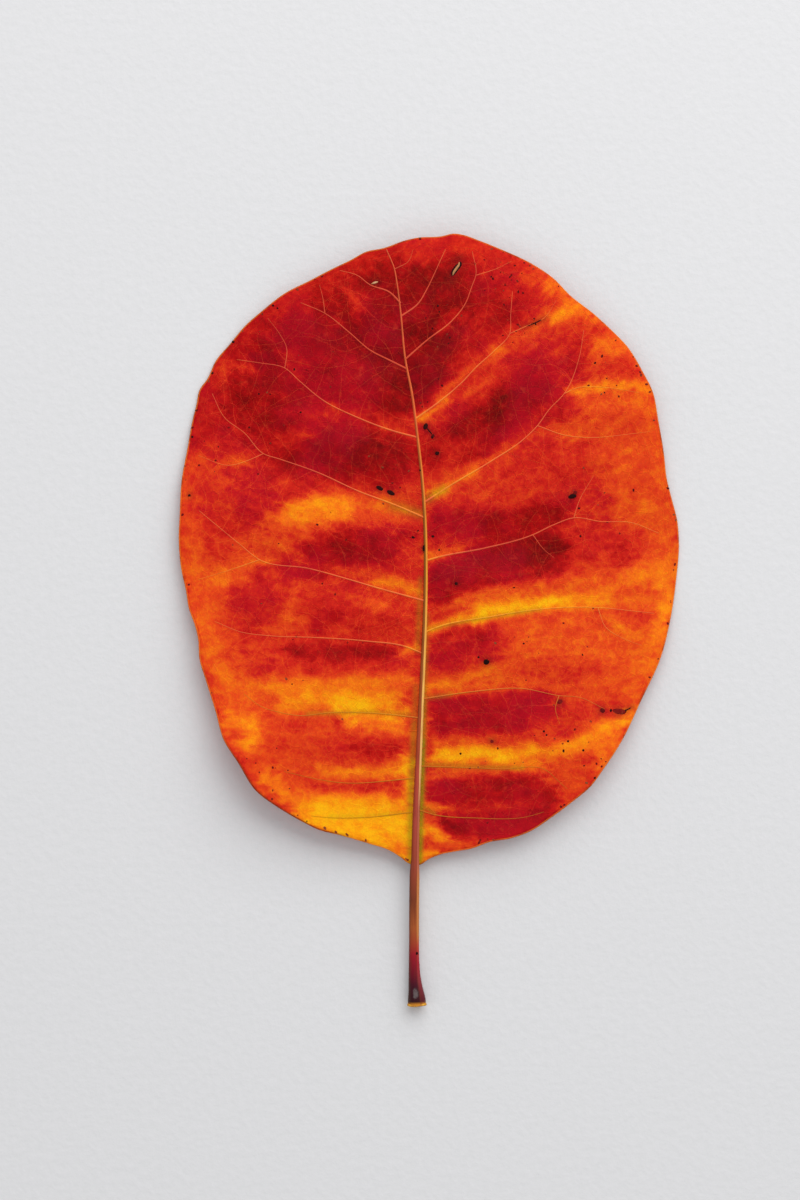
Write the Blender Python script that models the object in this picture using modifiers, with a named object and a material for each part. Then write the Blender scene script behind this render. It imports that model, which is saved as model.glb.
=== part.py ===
"""An autumn leaf, lying as it fell: oval blade, midrib, side veins and stalk, grown as one piece.

The leaf is drawn flat, from above, in drawing units: the blade's base is at (0, 0), the tip is
up (+Y) and the drawing is DRAWN_LENGTH units long. The blade is then lifted off the ground by a
form of its own, and it touches the ground at two places of its margin and at the stalk's end.
"""

import math

import bmesh
import bpy
import numpy as np
from mathutils import Vector
from mathutils.geometry import delaunay_2d_cdt

# Driving dimensions, in metres
BLADE_LENGTH = 0.0707
BLADE_THICKNESS = 0.0006
STALK_RADIUS = 0.00056
STALK_END_RADIUS = 0.00102

# The drawing's own length, and the size of one of its units
DRAWN_LENGTH = 70.7
UNIT = BLADE_LENGTH / DRAWN_LENGTH

# Where the blade's base lies, with the origin under the middle of the whole leaf
BLADE_BASE = (-1.63 * UNIT, -27.4 * UNIT)

# Relief of the ribs, in drawing units: half width and height at the root and at the end
MIDRIB_TOP = {"width": (0.75, 0.40), "height": (0.32, 0.10)}
MIDRIB_UNDER = {"width": (0.75, 0.40), "height": (0.50, 0.10)}
VEIN_TOP = {"width": (0.50, 0.36), "height": (0.20, 0.10)}
VEIN_UNDER = {"width": (0.50, 0.36), "height": (0.38, 0.12)}
BRANCH_TOP = {"width": (0.42, 0.34), "height": (0.13, 0.08)}
BRANCH_UNDER = {"width": (0.42, 0.34), "height": (0.20, 0.10)}

# The blade swells between its veins: how high, over what distance from a vein
QUILT_HEIGHT = 0.30
QUILT_REACH = 2.6
QUILT_FADE_POWER = 6

# Point spacing, in drawing units
OUTLINE_SPACING = 1.25
RIB_SPACING = 1.1
FILL_SPACING = 1.9
FOOT_CLEARANCE = 0.12
MARGIN_CLEARANCE = 0.9
RIB_CLEARANCE = 1.25
MERGE_DISTANCE = 0.02

# The margin, from the right of the stalk, round the tip, to the left of the stalk
OUTLINE = [
    (0.6, 0.0), (1.5, 0.6), (2.7, 1.1), (4.5, 1.5), (6.2, 1.8), (8.4, 2.6), (10.7, 3.0),
    (12.9, 3.8), (15.2, 5.3), (17.6, 7.1), (19.7, 8.9), (21.1, 10.8), (23.2, 14.0),
    (25.4, 18.5), (27.5, 23.0), (28.7, 27.5), (29.4, 32.0), (29.7, 36.5), (29.5, 38.7),
    (28.9, 41.0), (28.3, 43.4), (28.0, 46.0), (27.3, 50.0), (26.7, 53.0), (25.5, 55.4),
    (24.0, 57.9), (22.0, 60.0), (20.0, 61.8), (17.5, 63.7), (15.4, 65.8), (13.0, 67.4),
    (9.8, 68.9), (7.3, 69.9), (5.2, 70.6), (4.3, 70.7), (3.0, 70.4), (0.1, 70.2),
    (-1.2, 69.9), (-3.5, 69.1), (-5.5, 68.7), (-7.2, 67.8), (-9.5, 66.7), (-11.8, 65.5),
    (-14.6, 64.1), (-17.0, 62.3), (-19.2, 60.4), (-20.8, 58.5), (-22.4, 56.6),
    (-23.4, 54.5), (-24.2, 53.4), (-24.6, 51.6), (-25.0, 50.0), (-25.6, 46.6),
    (-26.2, 43.2), (-26.4, 39.3), (-26.5, 36.5), (-26.2, 33.0), (-25.7, 30.8),
    (-25.3, 28.6), (-24.7, 27.0), (-24.3, 25.5), (-24.1, 23.0), (-23.4, 20.7),
    (-22.3, 17.3), (-21.3, 14.0), (-19.8, 11.7), (-17.7, 8.4), (-15.2, 6.5),
    (-12.9, 5.1), (-10.7, 4.0), (-8.4, 3.4), (-5.1, 2.4), (-2.8, 1.6), (-1.7, 0.9),
    (-0.6, 0.1),
]

MIDRIB = [
    (0.0, 0.8), (0.1, 5.0), (0.3, 9.5), (0.7, 18.5), (1.1, 27.5), (1.2, 34.2),
    (1.1, 38.7), (0.8, 43.2), (0.3, 47.7), (-0.3, 52.5), (-1.1, 56.7), (-1.6, 61.8),
    (-2.0, 65.0), (-2.3, 66.7), (-3.2, 68.9),
]

# Side veins of the left half, from the midrib outwards, top to bottom
LEFT_VEINS = [
    [(-1.6, 62.9), (-2.8, 64.1), (-5.1, 65.0), (-6.4, 66.0), (-8.4, 66.6)],
    [(-1.0, 55.6), (-2.8, 56.5), (-5.1, 57.7), (-7.3, 59.6), (-10.1, 61.8), (-12.8, 63.0)],
    [(0.2, 47.9), (-2.7, 48.7), (-6.6, 50.2), (-10.2, 52.0), (-12.9, 54.2), (-14.6, 55.7),
     (-17.4, 56.3), (-20.0, 56.7)],
    [(1.1, 38.9), (-1.9, 40.2), (-6.6, 42.0), (-10.7, 43.9), (-15.2, 45.5), (-17.0, 46.1),
     (-19.1, 48.4), (-21.4, 50.2), (-22.8, 52.9)],
    [(1.1, 29.6), (-1.1, 30.2), (-4.0, 31.0), (-7.4, 32.0), (-11.8, 33.2), (-17.4, 34.2),
     (-19.7, 36.0), (-21.9, 37.8), (-24.2, 39.7)],
    [(0.9, 23.7), (-1.1, 24.5), (-5.4, 25.1), (-11.1, 25.5), (-16.3, 25.7), (-19.4, 26.1),
     (-22.4, 27.3)],
    [(0.6, 16.5), (-3.9, 17.0), (-9.8, 17.1), (-12.9, 16.8), (-15.2, 17.2), (-16.9, 17.7),
     (-19.1, 19.2)],
    [(0.3, 9.8), (-1.7, 9.6), (-8.3, 9.3), (-11.8, 9.9), (-14.6, 10.6)],
    [(0.1, 6.0), (-5.4, 5.4), (-9.6, 5.4), (-11.6, 5.6)],
]

# Side veins of the right half, top to bottom
RIGHT_VEINS = [
    [(-1.6, 61.4), (0.4, 62.9), (1.3, 64.4), (2.4, 66.7), (3.4, 68.9)],
    [(-1.0, 56.7), (1.4, 58.8), (4.1, 60.9), (5.6, 62.8), (6.4, 64.9), (6.8, 66.0),
     (6.4, 68.7)],
    [(0.1, 50.0), (2.6, 51.8), (5.2, 54.0), (6.9, 55.8), (8.9, 57.6), (10.6, 59.5),
     (10.7, 61.5), (10.9, 64.2)],
    [(1.0, 40.6), (4.1, 42.6), (8.3, 45.1), (12.4, 47.9), (13.7, 49.2), (15.0, 51.0),
     (16.7, 52.8), (18.4, 56.9), (18.9, 59.9)],
    [(1.2, 34.1), (2.6, 34.5), (7.8, 35.5), (13.2, 37.0), (15.5, 38.1), (17.8, 38.9),
     (20.8, 38.5), (24.2, 38.4), (27.4, 37.2)],
    [(1.1, 26.1), (2.6, 26.7), (8.3, 27.8), (14.4, 28.7), (21.3, 28.8), (24.1, 28.5),
     (26.8, 28.2)],
    [(0.7, 18.6), (3.2, 19.0), (6.9, 19.5), (12.0, 19.8), (16.1, 19.0), (18.4, 18.8),
     (21.2, 17.5)],
    [(0.3, 11.1), (4.1, 11.0), (9.8, 10.8), (14.6, 10.7), (16.3, 9.2), (17.0, 8.6)],
    [(0.1, 6.3), (2.0, 5.7), (6.9, 5.3), (12.7, 5.5), (14.4, 6.0)],
]

# Forks of the side veins, each from its vein outwards
BRANCHES = [
    [(-2.3, 66.7), (-0.7, 67.6), (-0.2, 68.9)],
    [(-10.1, 61.8), (-10.3, 63.4), (-10.7, 65.0)],
    [(-14.6, 55.7), (-14.4, 58.0), (-15.1, 59.4), (-16.5, 61.3)],
    [(-17.0, 46.1), (-18.6, 45.4), (-20.8, 44.8), (-24.3, 45.9)],
    [(-17.4, 34.2), (-20.6, 33.1), (-24.2, 32.0)],
    [(6.8, 66.0), (9.2, 66.8), (10.8, 67.6)],
    [(10.6, 59.5), (12.6, 60.4), (14.4, 61.2), (15.8, 63.2)],
    [(13.7, 49.2), (17.0, 48.1), (19.6, 47.9), (24.1, 48.3), (26.4, 48.6)],
    [(16.7, 52.8), (18.0, 53.4), (21.3, 53.5), (25.2, 52.9)],
    [(17.8, 38.9), (18.4, 40.8), (20.0, 43.6)],
    [(13.2, 37.0), (14.4, 35.4), (15.6, 34.4)],
    [(20.5, 28.8), (21.4, 26.6), (23.1, 25.5), (25.4, 24.6)],
    [(16.1, 19.0), (15.7, 17.6), (16.2, 15.8)],
]

# The middle that the blade's form is drawn round, and how high the middle lies
FORM_CENTRE = (1.2, 35.5)
FORM_CENTRE_HEIGHT = 1.9
FORM_POWER = 1.7

# How high the margin's middle surface lies at each bearing from that centre, in degrees from +X
# anticlockwise. It lies on the ground round 0 and 143, and is highest at the lower left, at 234.
MARGIN_HEIGHTS = [
    (0, 0.0), (20, 0.7), (45, 1.4), (70, 1.9), (95, 2.1), (120, 1.1), (143, 0.0), (163, 0.9),
    (188, 1.6), (210, 2.6), (234, 4.1), (250, 2.9), (270, 1.6), (284, 2.0), (302, 2.5), (322, 1.8),
    (342, 0.75),
]
MARGIN_HEIGHT_STEP = 4.0
MARGIN_WAVE_HEIGHT = 0.16
MARGIN_WAVES = 13
MARGIN_WAVE_POWER = 5

# The stalk's middle line from its cut end into the blade: across, along, height and thickness,
# where thickness is 0 for the plain shaft and 1 for the full flare of its end
STALK = [
    (0.22, -15.9, 0.92, 1.0), (0.21, -15.3, 0.92, 0.97), (0.09, -14.0, 0.90, 0.55),
    (-0.05, -12.4, 0.93, 0.22), (-0.10, -10.5, 1.00, 0.05), (-0.10, -8.3, 1.10, 0.0),
    (-0.10, -5.8, 1.24, 0.0), (-0.08, -3.4, 1.40, 0.0), (-0.05, -1.2, 1.53, 0.0),
    (0.0, 1.2, 1.58, -0.02), (0.05, 3.6, 1.60, -0.10), (0.12, 6.0, 1.63, -0.22),
    (0.20, 8.2, 1.65, -0.38),
]
STALK_RING_SPACING = 1.2

# The block that cuts the stalk's end flat, and how near points are before they are welded,
# at the tube's caps and where the stalk runs into the blade, in metres
GROUND_BLOCK = 0.02
CAP_WELD = 0.000001
SLIVER_WELD = 0.00002

LEAF_COLOUR = (0.56, 0.045, 0.016, 1.0)
LEAF_ROUGHNESS = 0.55


def smooth_curve(points, spacing, closed=False):
    """Points at about the given spacing along a smooth curve through the given points."""
    points = np.asarray(points, dtype=float)
    if closed:
        points = np.vstack([points[-1:], points, points[:2]])
    else:
        points = np.vstack([2 * points[0] - points[1], points, 2 * points[-1] - points[-2]])
    spans = np.linalg.norm(np.diff(points, axis=0), axis=1)
    rates = np.diff(points, axis=0) / spans[:, None]
    weights = (spans[:-1] / (spans[:-1] + spans[1:]))[:, None]
    tangents = rates[:-1] * (1 - weights) + rates[1:] * weights
    curve = []
    for i in range(1, len(points) - 2):
        pull_out = tangents[i - 1] * spans[i]
        pull_in = tangents[i] * spans[i]
        steps = max(1, round(spans[i] / spacing))
        for t in np.arange(steps) / steps:
            ease = 3 * t ** 2 - 2 * t ** 3
            bend = pull_out * (t ** 3 - 2 * t ** 2 + t) + pull_in * (t ** 3 - t ** 2)
            curve.append(points[i] * (1 - ease) + points[i + 1] * ease + bend)
    if not closed:
        curve.append(points[-2])
    return np.array(curve)


def distance_to_line(places, line):
    """Each place's distance to a line of points, and how far along the line it is nearest, 0 to 1."""
    nearest = np.full(len(places), np.inf)
    along = np.zeros(len(places))
    lengths = np.linalg.norm(np.diff(line, axis=0), axis=1)
    passed = np.concatenate([[0.0], np.cumsum(lengths)])
    for i, length in enumerate(lengths):
        step = (line[i + 1] - line[i]) / length
        reach = np.clip((places - line[i]) @ step, 0.0, length)
        gap = np.linalg.norm(places - (line[i] + reach[:, None] * step), axis=1)
        closer = gap < nearest
        nearest[closer] = gap[closer]
        along[closer] = (passed[i] + reach[closer]) / passed[-1]
    return nearest, along


def taper(ends, along):
    """A size that runs from the first of two values to the second."""
    return ends[0] + (ends[1] - ends[0]) * along


class Rib:
    """The midrib, a side vein or a fork: its line, and its relief above and below the blade."""

    def __init__(self, points, top, under):
        self.line = smooth_curve(points, RIB_SPACING)
        self.top = top
        self.under = under

    def relief(self, places, profile):
        """The height that this rib adds to the blade at each place."""
        distance, along = distance_to_line(places, self.line)
        width = taper(profile["width"], along)
        return taper(profile["height"], along) * np.clip(1.0 - (distance / width) ** 2, 0.0, None)

    def is_clear(self, places):
        """Whether each place lies off this rib and its feet."""
        distance, along = distance_to_line(places, self.line)
        return distance > taper(self.top["width"], along) + FOOT_CLEARANCE

    def feet(self):
        """The two lines where the rib's sides meet the blade, a point for each of its own."""
        ahead = np.gradient(self.line, axis=0)
        side = np.column_stack([-ahead[:, 1], ahead[:, 0]])
        side /= np.linalg.norm(side, axis=1)[:, None]
        width = taper(self.top["width"], np.linspace(0.0, 1.0, len(self.line)))[:, None]
        return [self.line + side * width, self.line - side * width]


def make_ribs():
    """All the ribs of the leaf, the midrib first."""
    ribs = [Rib(MIDRIB, MIDRIB_TOP, MIDRIB_UNDER)]
    ribs += [Rib(points, VEIN_TOP, VEIN_UNDER) for points in LEFT_VEINS + RIGHT_VEINS]
    ribs += [Rib(points, BRANCH_TOP, BRANCH_UNDER) for points in BRANCHES]
    return ribs


def is_inside(places, outline, clearance):
    """Whether each place lies inside the margin by at least the given clearance."""
    ring = np.vstack([outline, outline[:1]])
    inside = np.zeros(len(places), dtype=bool)
    for start, end in zip(ring[:-1], ring[1:]):
        crosses = (start[1] > places[:, 1]) != (end[1] > places[:, 1])
        if crosses.any():
            at = start[0] + (places[:, 1] - start[1]) / (end[1] - start[1]) * (end[0] - start[0])
            inside ^= crosses & (places[:, 0] < at)
    return inside & (distance_to_line(places, ring)[0] > clearance)


def bearing_and_share(places, outline):
    """Each place's bearing from the form's centre, and its share of the way to the margin."""
    offset = places - np.array(FORM_CENTRE)
    bearing = np.degrees(np.arctan2(offset[:, 1], offset[:, 0])) % 360.0
    rim = outline - np.array(FORM_CENTRE)
    rim_bearing = np.degrees(np.arctan2(rim[:, 1], rim[:, 0])) % 360.0
    reach = np.interp(bearing, rim_bearing, np.linalg.norm(rim, axis=1), period=360.0)
    return bearing, np.clip(np.linalg.norm(offset, axis=1) / reach, 0.0, 1.0)


def form_height(bearing, share):
    """The height of the blade's middle surface, before its relief."""
    turns = [(degrees + 360 * lap, height) for lap in (-1, 0, 1) for degrees, height in MARGIN_HEIGHTS]
    heights = smooth_curve(turns, MARGIN_HEIGHT_STEP)
    margin = np.interp(bearing, heights[:, 0], heights[:, 1])
    wave = MARGIN_WAVE_HEIGHT * np.sin(np.radians(bearing * MARGIN_WAVES)) * np.clip(margin, 0.0, 1.0)
    rise = (margin - FORM_CENTRE_HEIGHT) * share ** FORM_POWER
    return FORM_CENTRE_HEIGHT + rise + wave * share ** MARGIN_WAVE_POWER


def quilting(places, share, ribs):
    """How far the blade swells up between its veins, less and less towards the margin."""
    distance = np.min([distance_to_line(places, rib.line)[0] for rib in ribs], axis=0)
    swell = QUILT_HEIGHT * (1.0 - np.exp(-(distance / QUILT_REACH) ** 2))
    return swell * (1.0 - share ** QUILT_FADE_POWER)


def fill_points(outline, ribs):
    """Points in even rows between the ribs, clear of the margin."""
    rows = []
    row_step = FILL_SPACING * math.sqrt(3) / 2
    low = outline.min(axis=0)
    high = outline.max(axis=0)
    for row, y in enumerate(np.arange(low[1], high[1], row_step)):
        shift = FILL_SPACING / 2 * (row % 2)
        rows += [(x + shift, y) for x in np.arange(low[0], high[0], FILL_SPACING)]
    places = np.array(rows)
    places = places[is_inside(places, outline, MARGIN_CLEARANCE)]
    for rib in ribs:
        places = places[distance_to_line(places, rib.line)[0] > RIB_CLEARANCE]
    return places


def blade_net(outline, ribs):
    """The flat net of triangles that the blade is made on, with edges along every rib."""
    places = [Vector(place) for place in outline]
    edges = []

    def add_line(line, kept):
        """Adds the kept points of a line, with an edge between each two that are neighbours."""
        for i, place in enumerate(line):
            if kept[i]:
                places.append(Vector(place))
                if i and kept[i - 1]:
                    edges.append((len(places) - 2, len(places) - 1))

    for rib in ribs:
        add_line(rib.line, np.ones(len(rib.line), dtype=bool))
        for foot in rib.feet():
            kept = is_inside(foot, outline, MARGIN_CLEARANCE / 2)
            for other in ribs:
                if other is not rib:
                    kept &= other.is_clear(foot)
            add_line(foot, kept)
    places += [Vector(place) for place in fill_points(outline, ribs)]
    net = delaunay_2d_cdt(places, edges, [list(range(len(outline)))], 1, MERGE_DISTANCE)
    return np.array([tuple(place) for place in net[0]]), net[2]


def make_material(name, colour, roughness):
    """A plain Principled material."""
    material = bpy.data.materials.new(name)
    material.use_nodes = True
    shader = material.node_tree.nodes["Principled BSDF"]
    shader.inputs["Base Color"].default_value = colour
    shader.inputs["Roughness"].default_value = roughness
    shader.inputs["Metallic"].default_value = 0.0
    material.diffuse_color = colour
    return material


def make_blade(collection):
    """The blade with its ribs: its underside as an open sheet, thickened upwards by Solidify."""
    outline = smooth_curve(OUTLINE, OUTLINE_SPACING, closed=True)
    ribs = make_ribs()
    places, triangles = blade_net(outline, ribs)
    bearing, share = bearing_and_share(places, outline)
    under = np.max([rib.relief(places, rib.under) for rib in ribs], axis=0)
    top = np.max([rib.relief(places, rib.top) for rib in ribs], axis=0)
    middle = (form_height(bearing, share) + quilting(places, share, ribs)) * UNIT
    underside = np.clip(middle - BLADE_THICKNESS / 2 - under * UNIT, 0.0, None)
    thickness = BLADE_THICKNESS + (under + top) * UNIT
    mesh = bpy.data.meshes.new("leaf")
    vertices = np.column_stack([places * UNIT, underside])
    mesh.from_pydata([tuple(vertex) for vertex in vertices], [], triangles)
    blade = bpy.data.objects.new("leaf", mesh)
    collection.objects.link(blade)
    group = blade.vertex_groups.new(name="thickness")
    thickest = thickness.max()
    for index, value in enumerate(thickness):
        group.add([index], value / thickest, "REPLACE")
    solidify = blade.modifiers.new("blade thickness", "SOLIDIFY")
    solidify.thickness = thickest
    solidify.offset = 1.0
    solidify.vertex_group = group.name
    return blade


def make_stalk(collection):
    """The stalk: a tapered curve tube with a flared end, made a closed mesh."""
    line = smooth_curve(STALK, STALK_RING_SPACING)
    curve = bpy.data.curves.new("stalk", "CURVE")
    curve.dimensions = "3D"
    curve.bevel_depth = 1.0
    curve.bevel_resolution = 3
    curve.use_fill_caps = True
    spline = curve.splines.new("POLY")
    spline.points.add(len(line) - 1)
    for point, (x, y, z, flare) in zip(spline.points, line):
        point.co = (x * UNIT, y * UNIT, z * UNIT, 1.0)
        point.radius = STALK_RADIUS + (STALK_END_RADIUS - STALK_RADIUS) * flare
    tube = bpy.data.objects.new("stalk curve", curve)
    collection.objects.link(tube)
    graph = bpy.context.evaluated_depsgraph_get()
    mesh = bpy.data.meshes.new_from_object(tube.evaluated_get(graph))
    bpy.data.objects.remove(tube)
    welded = bmesh.new()
    welded.from_mesh(mesh)
    bmesh.ops.remove_doubles(welded, verts=welded.verts, dist=CAP_WELD)
    bmesh.ops.recalc_face_normals(welded, faces=welded.faces)
    welded.to_mesh(mesh)
    welded.free()
    stalk = bpy.data.objects.new("stalk", mesh)
    collection.objects.link(stalk)
    return stalk


def make_ground(collection):
    """A block below the ground, which cuts a flat under the stalk's end."""
    stalk_end = STALK[0][1] * UNIT
    bpy.ops.mesh.primitive_cube_add(size=GROUND_BLOCK, location=(0.0, stalk_end, -GROUND_BLOCK / 2))
    ground = bpy.context.active_object
    ground.name = "ground"
    for owner in list(ground.users_collection):
        owner.objects.unlink(ground)
    collection.objects.link(ground)
    return ground


def add_boolean(target, other, operation):
    """Adds an exact Boolean of the other object to the target, and marks the other as a guide."""
    other.hide_render = True
    other.display_type = "WIRE"
    boolean = target.modifiers.new(operation.lower() + " " + other.name, "BOOLEAN")
    boolean.operation = operation
    boolean.object = other
    boolean.solver = "EXACT"


def build():
    """Builds the leaf in its own collection."""
    for old in list(bpy.data.objects):
        bpy.data.objects.remove(old)
    leaf_collection = bpy.data.collections.new("autumn leaf")
    guide_collection = bpy.data.collections.new("guides")
    bpy.context.scene.collection.children.link(leaf_collection)
    bpy.context.scene.collection.children.link(guide_collection)
    base = bpy.data.objects.new("blade base", None)
    base.location = (BLADE_BASE[0], BLADE_BASE[1], 0.0)
    leaf_collection.objects.link(base)
    leaf = make_blade(leaf_collection)
    stalk = make_stalk(guide_collection)
    ground = make_ground(guide_collection)
    for piece in (leaf, stalk, ground):
        piece.parent = base
    add_boolean(stalk, ground, "DIFFERENCE")
    add_boolean(leaf, stalk, "UNION")
    weld = leaf.modifiers.new("weld slivers", "WELD")
    weld.merge_threshold = SLIVER_WELD
    leaf.data.materials.append(make_material("autumn leaf", LEAF_COLOUR, LEAF_ROUGHNESS))
    leaf.data.shade_smooth()


build()
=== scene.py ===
"""The looks of an autumn leaf: its coloured blade, ribs, vein net, spots, margin and stalk.

The leaf is drawn flat, from above, in millimetres, with the blade's base at (0, 0) and the tip up.
Every piece is drawn there and then set on the same waved surface, in the frame of the solid leaf.
"""

import math
import random

import bpy
import numpy as np
from bpy.props import FloatProperty, FloatVectorProperty, IntProperty, PointerProperty
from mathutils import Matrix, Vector, noise
from mathutils.geometry import delaunay_2d_cdt


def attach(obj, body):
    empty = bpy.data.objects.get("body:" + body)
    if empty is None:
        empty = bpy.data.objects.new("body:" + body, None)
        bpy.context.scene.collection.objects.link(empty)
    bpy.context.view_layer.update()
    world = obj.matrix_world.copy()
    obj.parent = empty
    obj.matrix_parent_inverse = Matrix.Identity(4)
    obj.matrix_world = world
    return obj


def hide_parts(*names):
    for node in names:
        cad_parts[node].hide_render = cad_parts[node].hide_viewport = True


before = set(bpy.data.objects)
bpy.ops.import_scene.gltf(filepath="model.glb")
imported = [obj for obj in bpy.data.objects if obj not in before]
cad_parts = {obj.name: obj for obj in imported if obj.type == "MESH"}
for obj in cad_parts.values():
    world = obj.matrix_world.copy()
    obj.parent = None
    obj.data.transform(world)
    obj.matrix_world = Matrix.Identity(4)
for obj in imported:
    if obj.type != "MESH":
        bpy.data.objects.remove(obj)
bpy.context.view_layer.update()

bl_info = {
    "name": "Autumn leaf",
    "version": (1, 0, 0),
    "blender": (4, 5, 0),
    "location": "View3D > Sidebar > Leaf",
    "description": "Builds a fallen autumn leaf with its ribs, vein net, spots and stalk",
    "category": "Add Mesh",
}

BODY = "root"
NODE = "leaf"

MM = 0.001
BLADE_BASE = (-1.63, -27.4)
PAINTED = ("warmth", "green", "shade")

# The margin, from the right of the stalk, round the tip, to the left of the stalk
OUTLINE = [
    (0.6, 0), (1.5, 0.6), (2.7, 1.1), (4.5, 1.5), (6.2, 1.8), (8.4, 2.6), (10.7, 3), (12.9, 3.8),
    (15.2, 5.3), (17.6, 7.1), (19.7, 8.9), (21.1, 10.8), (23.2, 14), (25.4, 18.5), (27.5, 23),
    (28.7, 27.5), (29.4, 32), (29.7, 36.5), (29.5, 38.7), (28.9, 41), (28.3, 43.4), (28, 46),
    (27.3, 50), (26.7, 53), (25.5, 55.4), (24, 57.9), (22, 60), (20, 61.8), (17.5, 63.7),
    (15.4, 65.8), (13, 67.4), (9.8, 68.9), (7.3, 69.9), (5.2, 70.6), (4.3, 70.7), (3, 70.4),
    (0.1, 70.2), (-1.2, 69.9), (-3.5, 69.1), (-5.5, 68.7), (-7.2, 67.8), (-9.5, 66.7), (-11.8, 65.5),
    (-14.6, 64.1), (-17, 62.3), (-19.2, 60.4), (-20.8, 58.5), (-22.4, 56.6), (-23.4, 54.5),
    (-24.2, 53.4), (-24.6, 51.6), (-25, 50), (-25.6, 46.6), (-26.2, 43.2), (-26.4, 39.3),
    (-26.5, 36.5), (-26.2, 33), (-25.7, 30.8), (-25.3, 28.6), (-24.7, 27), (-24.3, 25.5), (-24.1, 23),
    (-23.4, 20.7), (-22.3, 17.3), (-21.3, 14), (-19.8, 11.7), (-17.7, 8.4), (-15.2, 6.5),
    (-12.9, 5.1), (-10.7, 4), (-8.4, 3.4), (-5.1, 2.4), (-2.8, 1.6), (-1.7, 0.9), (-0.6, 0.1),
]

MIDRIB = [
    (0, 0.8), (0.1, 5), (0.3, 9.5), (0.7, 18.5), (1.1, 27.5), (1.2, 34.2), (1.1, 38.7), (0.8, 43.2),
    (0.3, 47.7), (-0.3, 52.5), (-1.1, 56.7), (-1.6, 61.8), (-2, 65), (-2.3, 66.7), (-3.2, 68.9),
]

# Side veins of the left half, from the midrib outwards, top to bottom
LEFT_VEINS = [
    [(-1.6, 62.9), (-2.8, 64.1), (-5.1, 65), (-6.4, 66), (-8.4, 66.6)],
    [(-1, 55.6), (-2.8, 56.5), (-5.1, 57.7), (-7.3, 59.6), (-10.1, 61.8), (-12.8, 63)],
    [(0.2, 47.9), (-2.7, 48.7), (-6.6, 50.2), (-10.2, 52), (-12.9, 54.2), (-14.6, 55.7),
     (-17.4, 56.3), (-20, 56.7)],
    [(1.1, 38.9), (-1.9, 40.2), (-6.6, 42), (-10.7, 43.9), (-15.2, 45.5), (-17, 46.1),
     (-19.1, 48.4), (-21.4, 50.2), (-22.8, 52.9)],
    [(1.1, 29.6), (-1.1, 30.2), (-4, 31), (-7.4, 32), (-11.8, 33.2), (-17.4, 34.2),
     (-19.7, 36), (-21.9, 37.8), (-24.2, 39.7)],
    [(0.9, 23.7), (-1.1, 24.5), (-5.4, 25.1), (-11.1, 25.5), (-16.3, 25.7), (-19.4, 26.1),
     (-22.4, 27.3)],
    [(0.6, 16.5), (-3.9, 17), (-9.8, 17.1), (-12.9, 16.8), (-15.2, 17.2), (-16.9, 17.7),
     (-19.1, 19.2)],
    [(0.3, 9.8), (-1.7, 9.6), (-8.3, 9.3), (-11.8, 9.9), (-14.6, 10.6)],
    [(0.1, 6), (-5.4, 5.4), (-9.6, 5.4), (-11.6, 5.6)],
]

# Side veins of the right half, top to bottom
RIGHT_VEINS = [
    [(-1.6, 61.4), (0.4, 62.9), (1.3, 64.4), (2.4, 66.7), (3.4, 68.9)],
    [(-1, 56.7), (1.4, 58.8), (4.1, 60.9), (5.6, 62.8), (6.4, 64.9), (6.8, 66),
     (6.4, 68.7)],
    [(0.1, 50), (2.6, 51.8), (5.2, 54), (6.9, 55.8), (8.9, 57.6), (10.6, 59.5),
     (10.7, 61.5), (10.9, 64.2)],
    [(1, 40.6), (4.1, 42.6), (8.3, 45.1), (12.4, 47.9), (13.7, 49.2), (15, 51),
     (16.7, 52.8), (18.4, 56.9), (18.9, 59.9)],
    [(1.2, 34.1), (2.6, 34.5), (7.8, 35.5), (13.2, 37), (15.5, 38.1), (17.8, 38.9),
     (20.8, 38.5), (24.2, 38.4), (27.4, 37.2)],
    [(1.1, 26.1), (2.6, 26.7), (8.3, 27.8), (14.4, 28.7), (21.3, 28.8), (24.1, 28.5),
     (26.8, 28.2)],
    [(0.7, 18.6), (3.2, 19), (6.9, 19.5), (12, 19.8), (16.1, 19), (18.4, 18.8),
     (21.2, 17.5)],
    [(0.3, 11.1), (4.1, 11), (9.8, 10.8), (14.6, 10.7), (16.3, 9.2), (17, 8.6)],
    [(0.1, 6.3), (2, 5.7), (6.9, 5.3), (12.7, 5.5), (14.4, 6)],
]

# Forks of the side veins, each from its vein outwards
BRANCHES = [
    [(-2.3, 66.7), (-0.7, 67.6), (-0.2, 68.9)], [(-10.1, 61.8), (-10.3, 63.4), (-10.7, 65)],
    [(-14.6, 55.7), (-14.4, 58), (-15.1, 59.4), (-16.5, 61.3)],
    [(-17, 46.1), (-18.6, 45.4), (-20.8, 44.8), (-24.3, 45.9)],
    [(-17.4, 34.2), (-20.6, 33.1), (-24.2, 32)], [(6.8, 66), (9.2, 66.8), (10.8, 67.6)],
    [(10.6, 59.5), (12.6, 60.4), (14.4, 61.2), (15.8, 63.2)],
    [(13.7, 49.2), (17, 48.1), (19.6, 47.9), (24.1, 48.3), (26.4, 48.6)],
    [(16.7, 52.8), (18, 53.4), (21.3, 53.5), (25.2, 52.9)], [(17.8, 38.9), (18.4, 40.8), (20, 43.6)],
    [(13.2, 37), (14.4, 35.4), (15.6, 34.4)],
    [(20.5, 28.8), (21.4, 26.6), (23.1, 25.5), (25.4, 24.6)],
    [(16.1, 19), (15.7, 17.6), (16.2, 15.8)],
]

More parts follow.
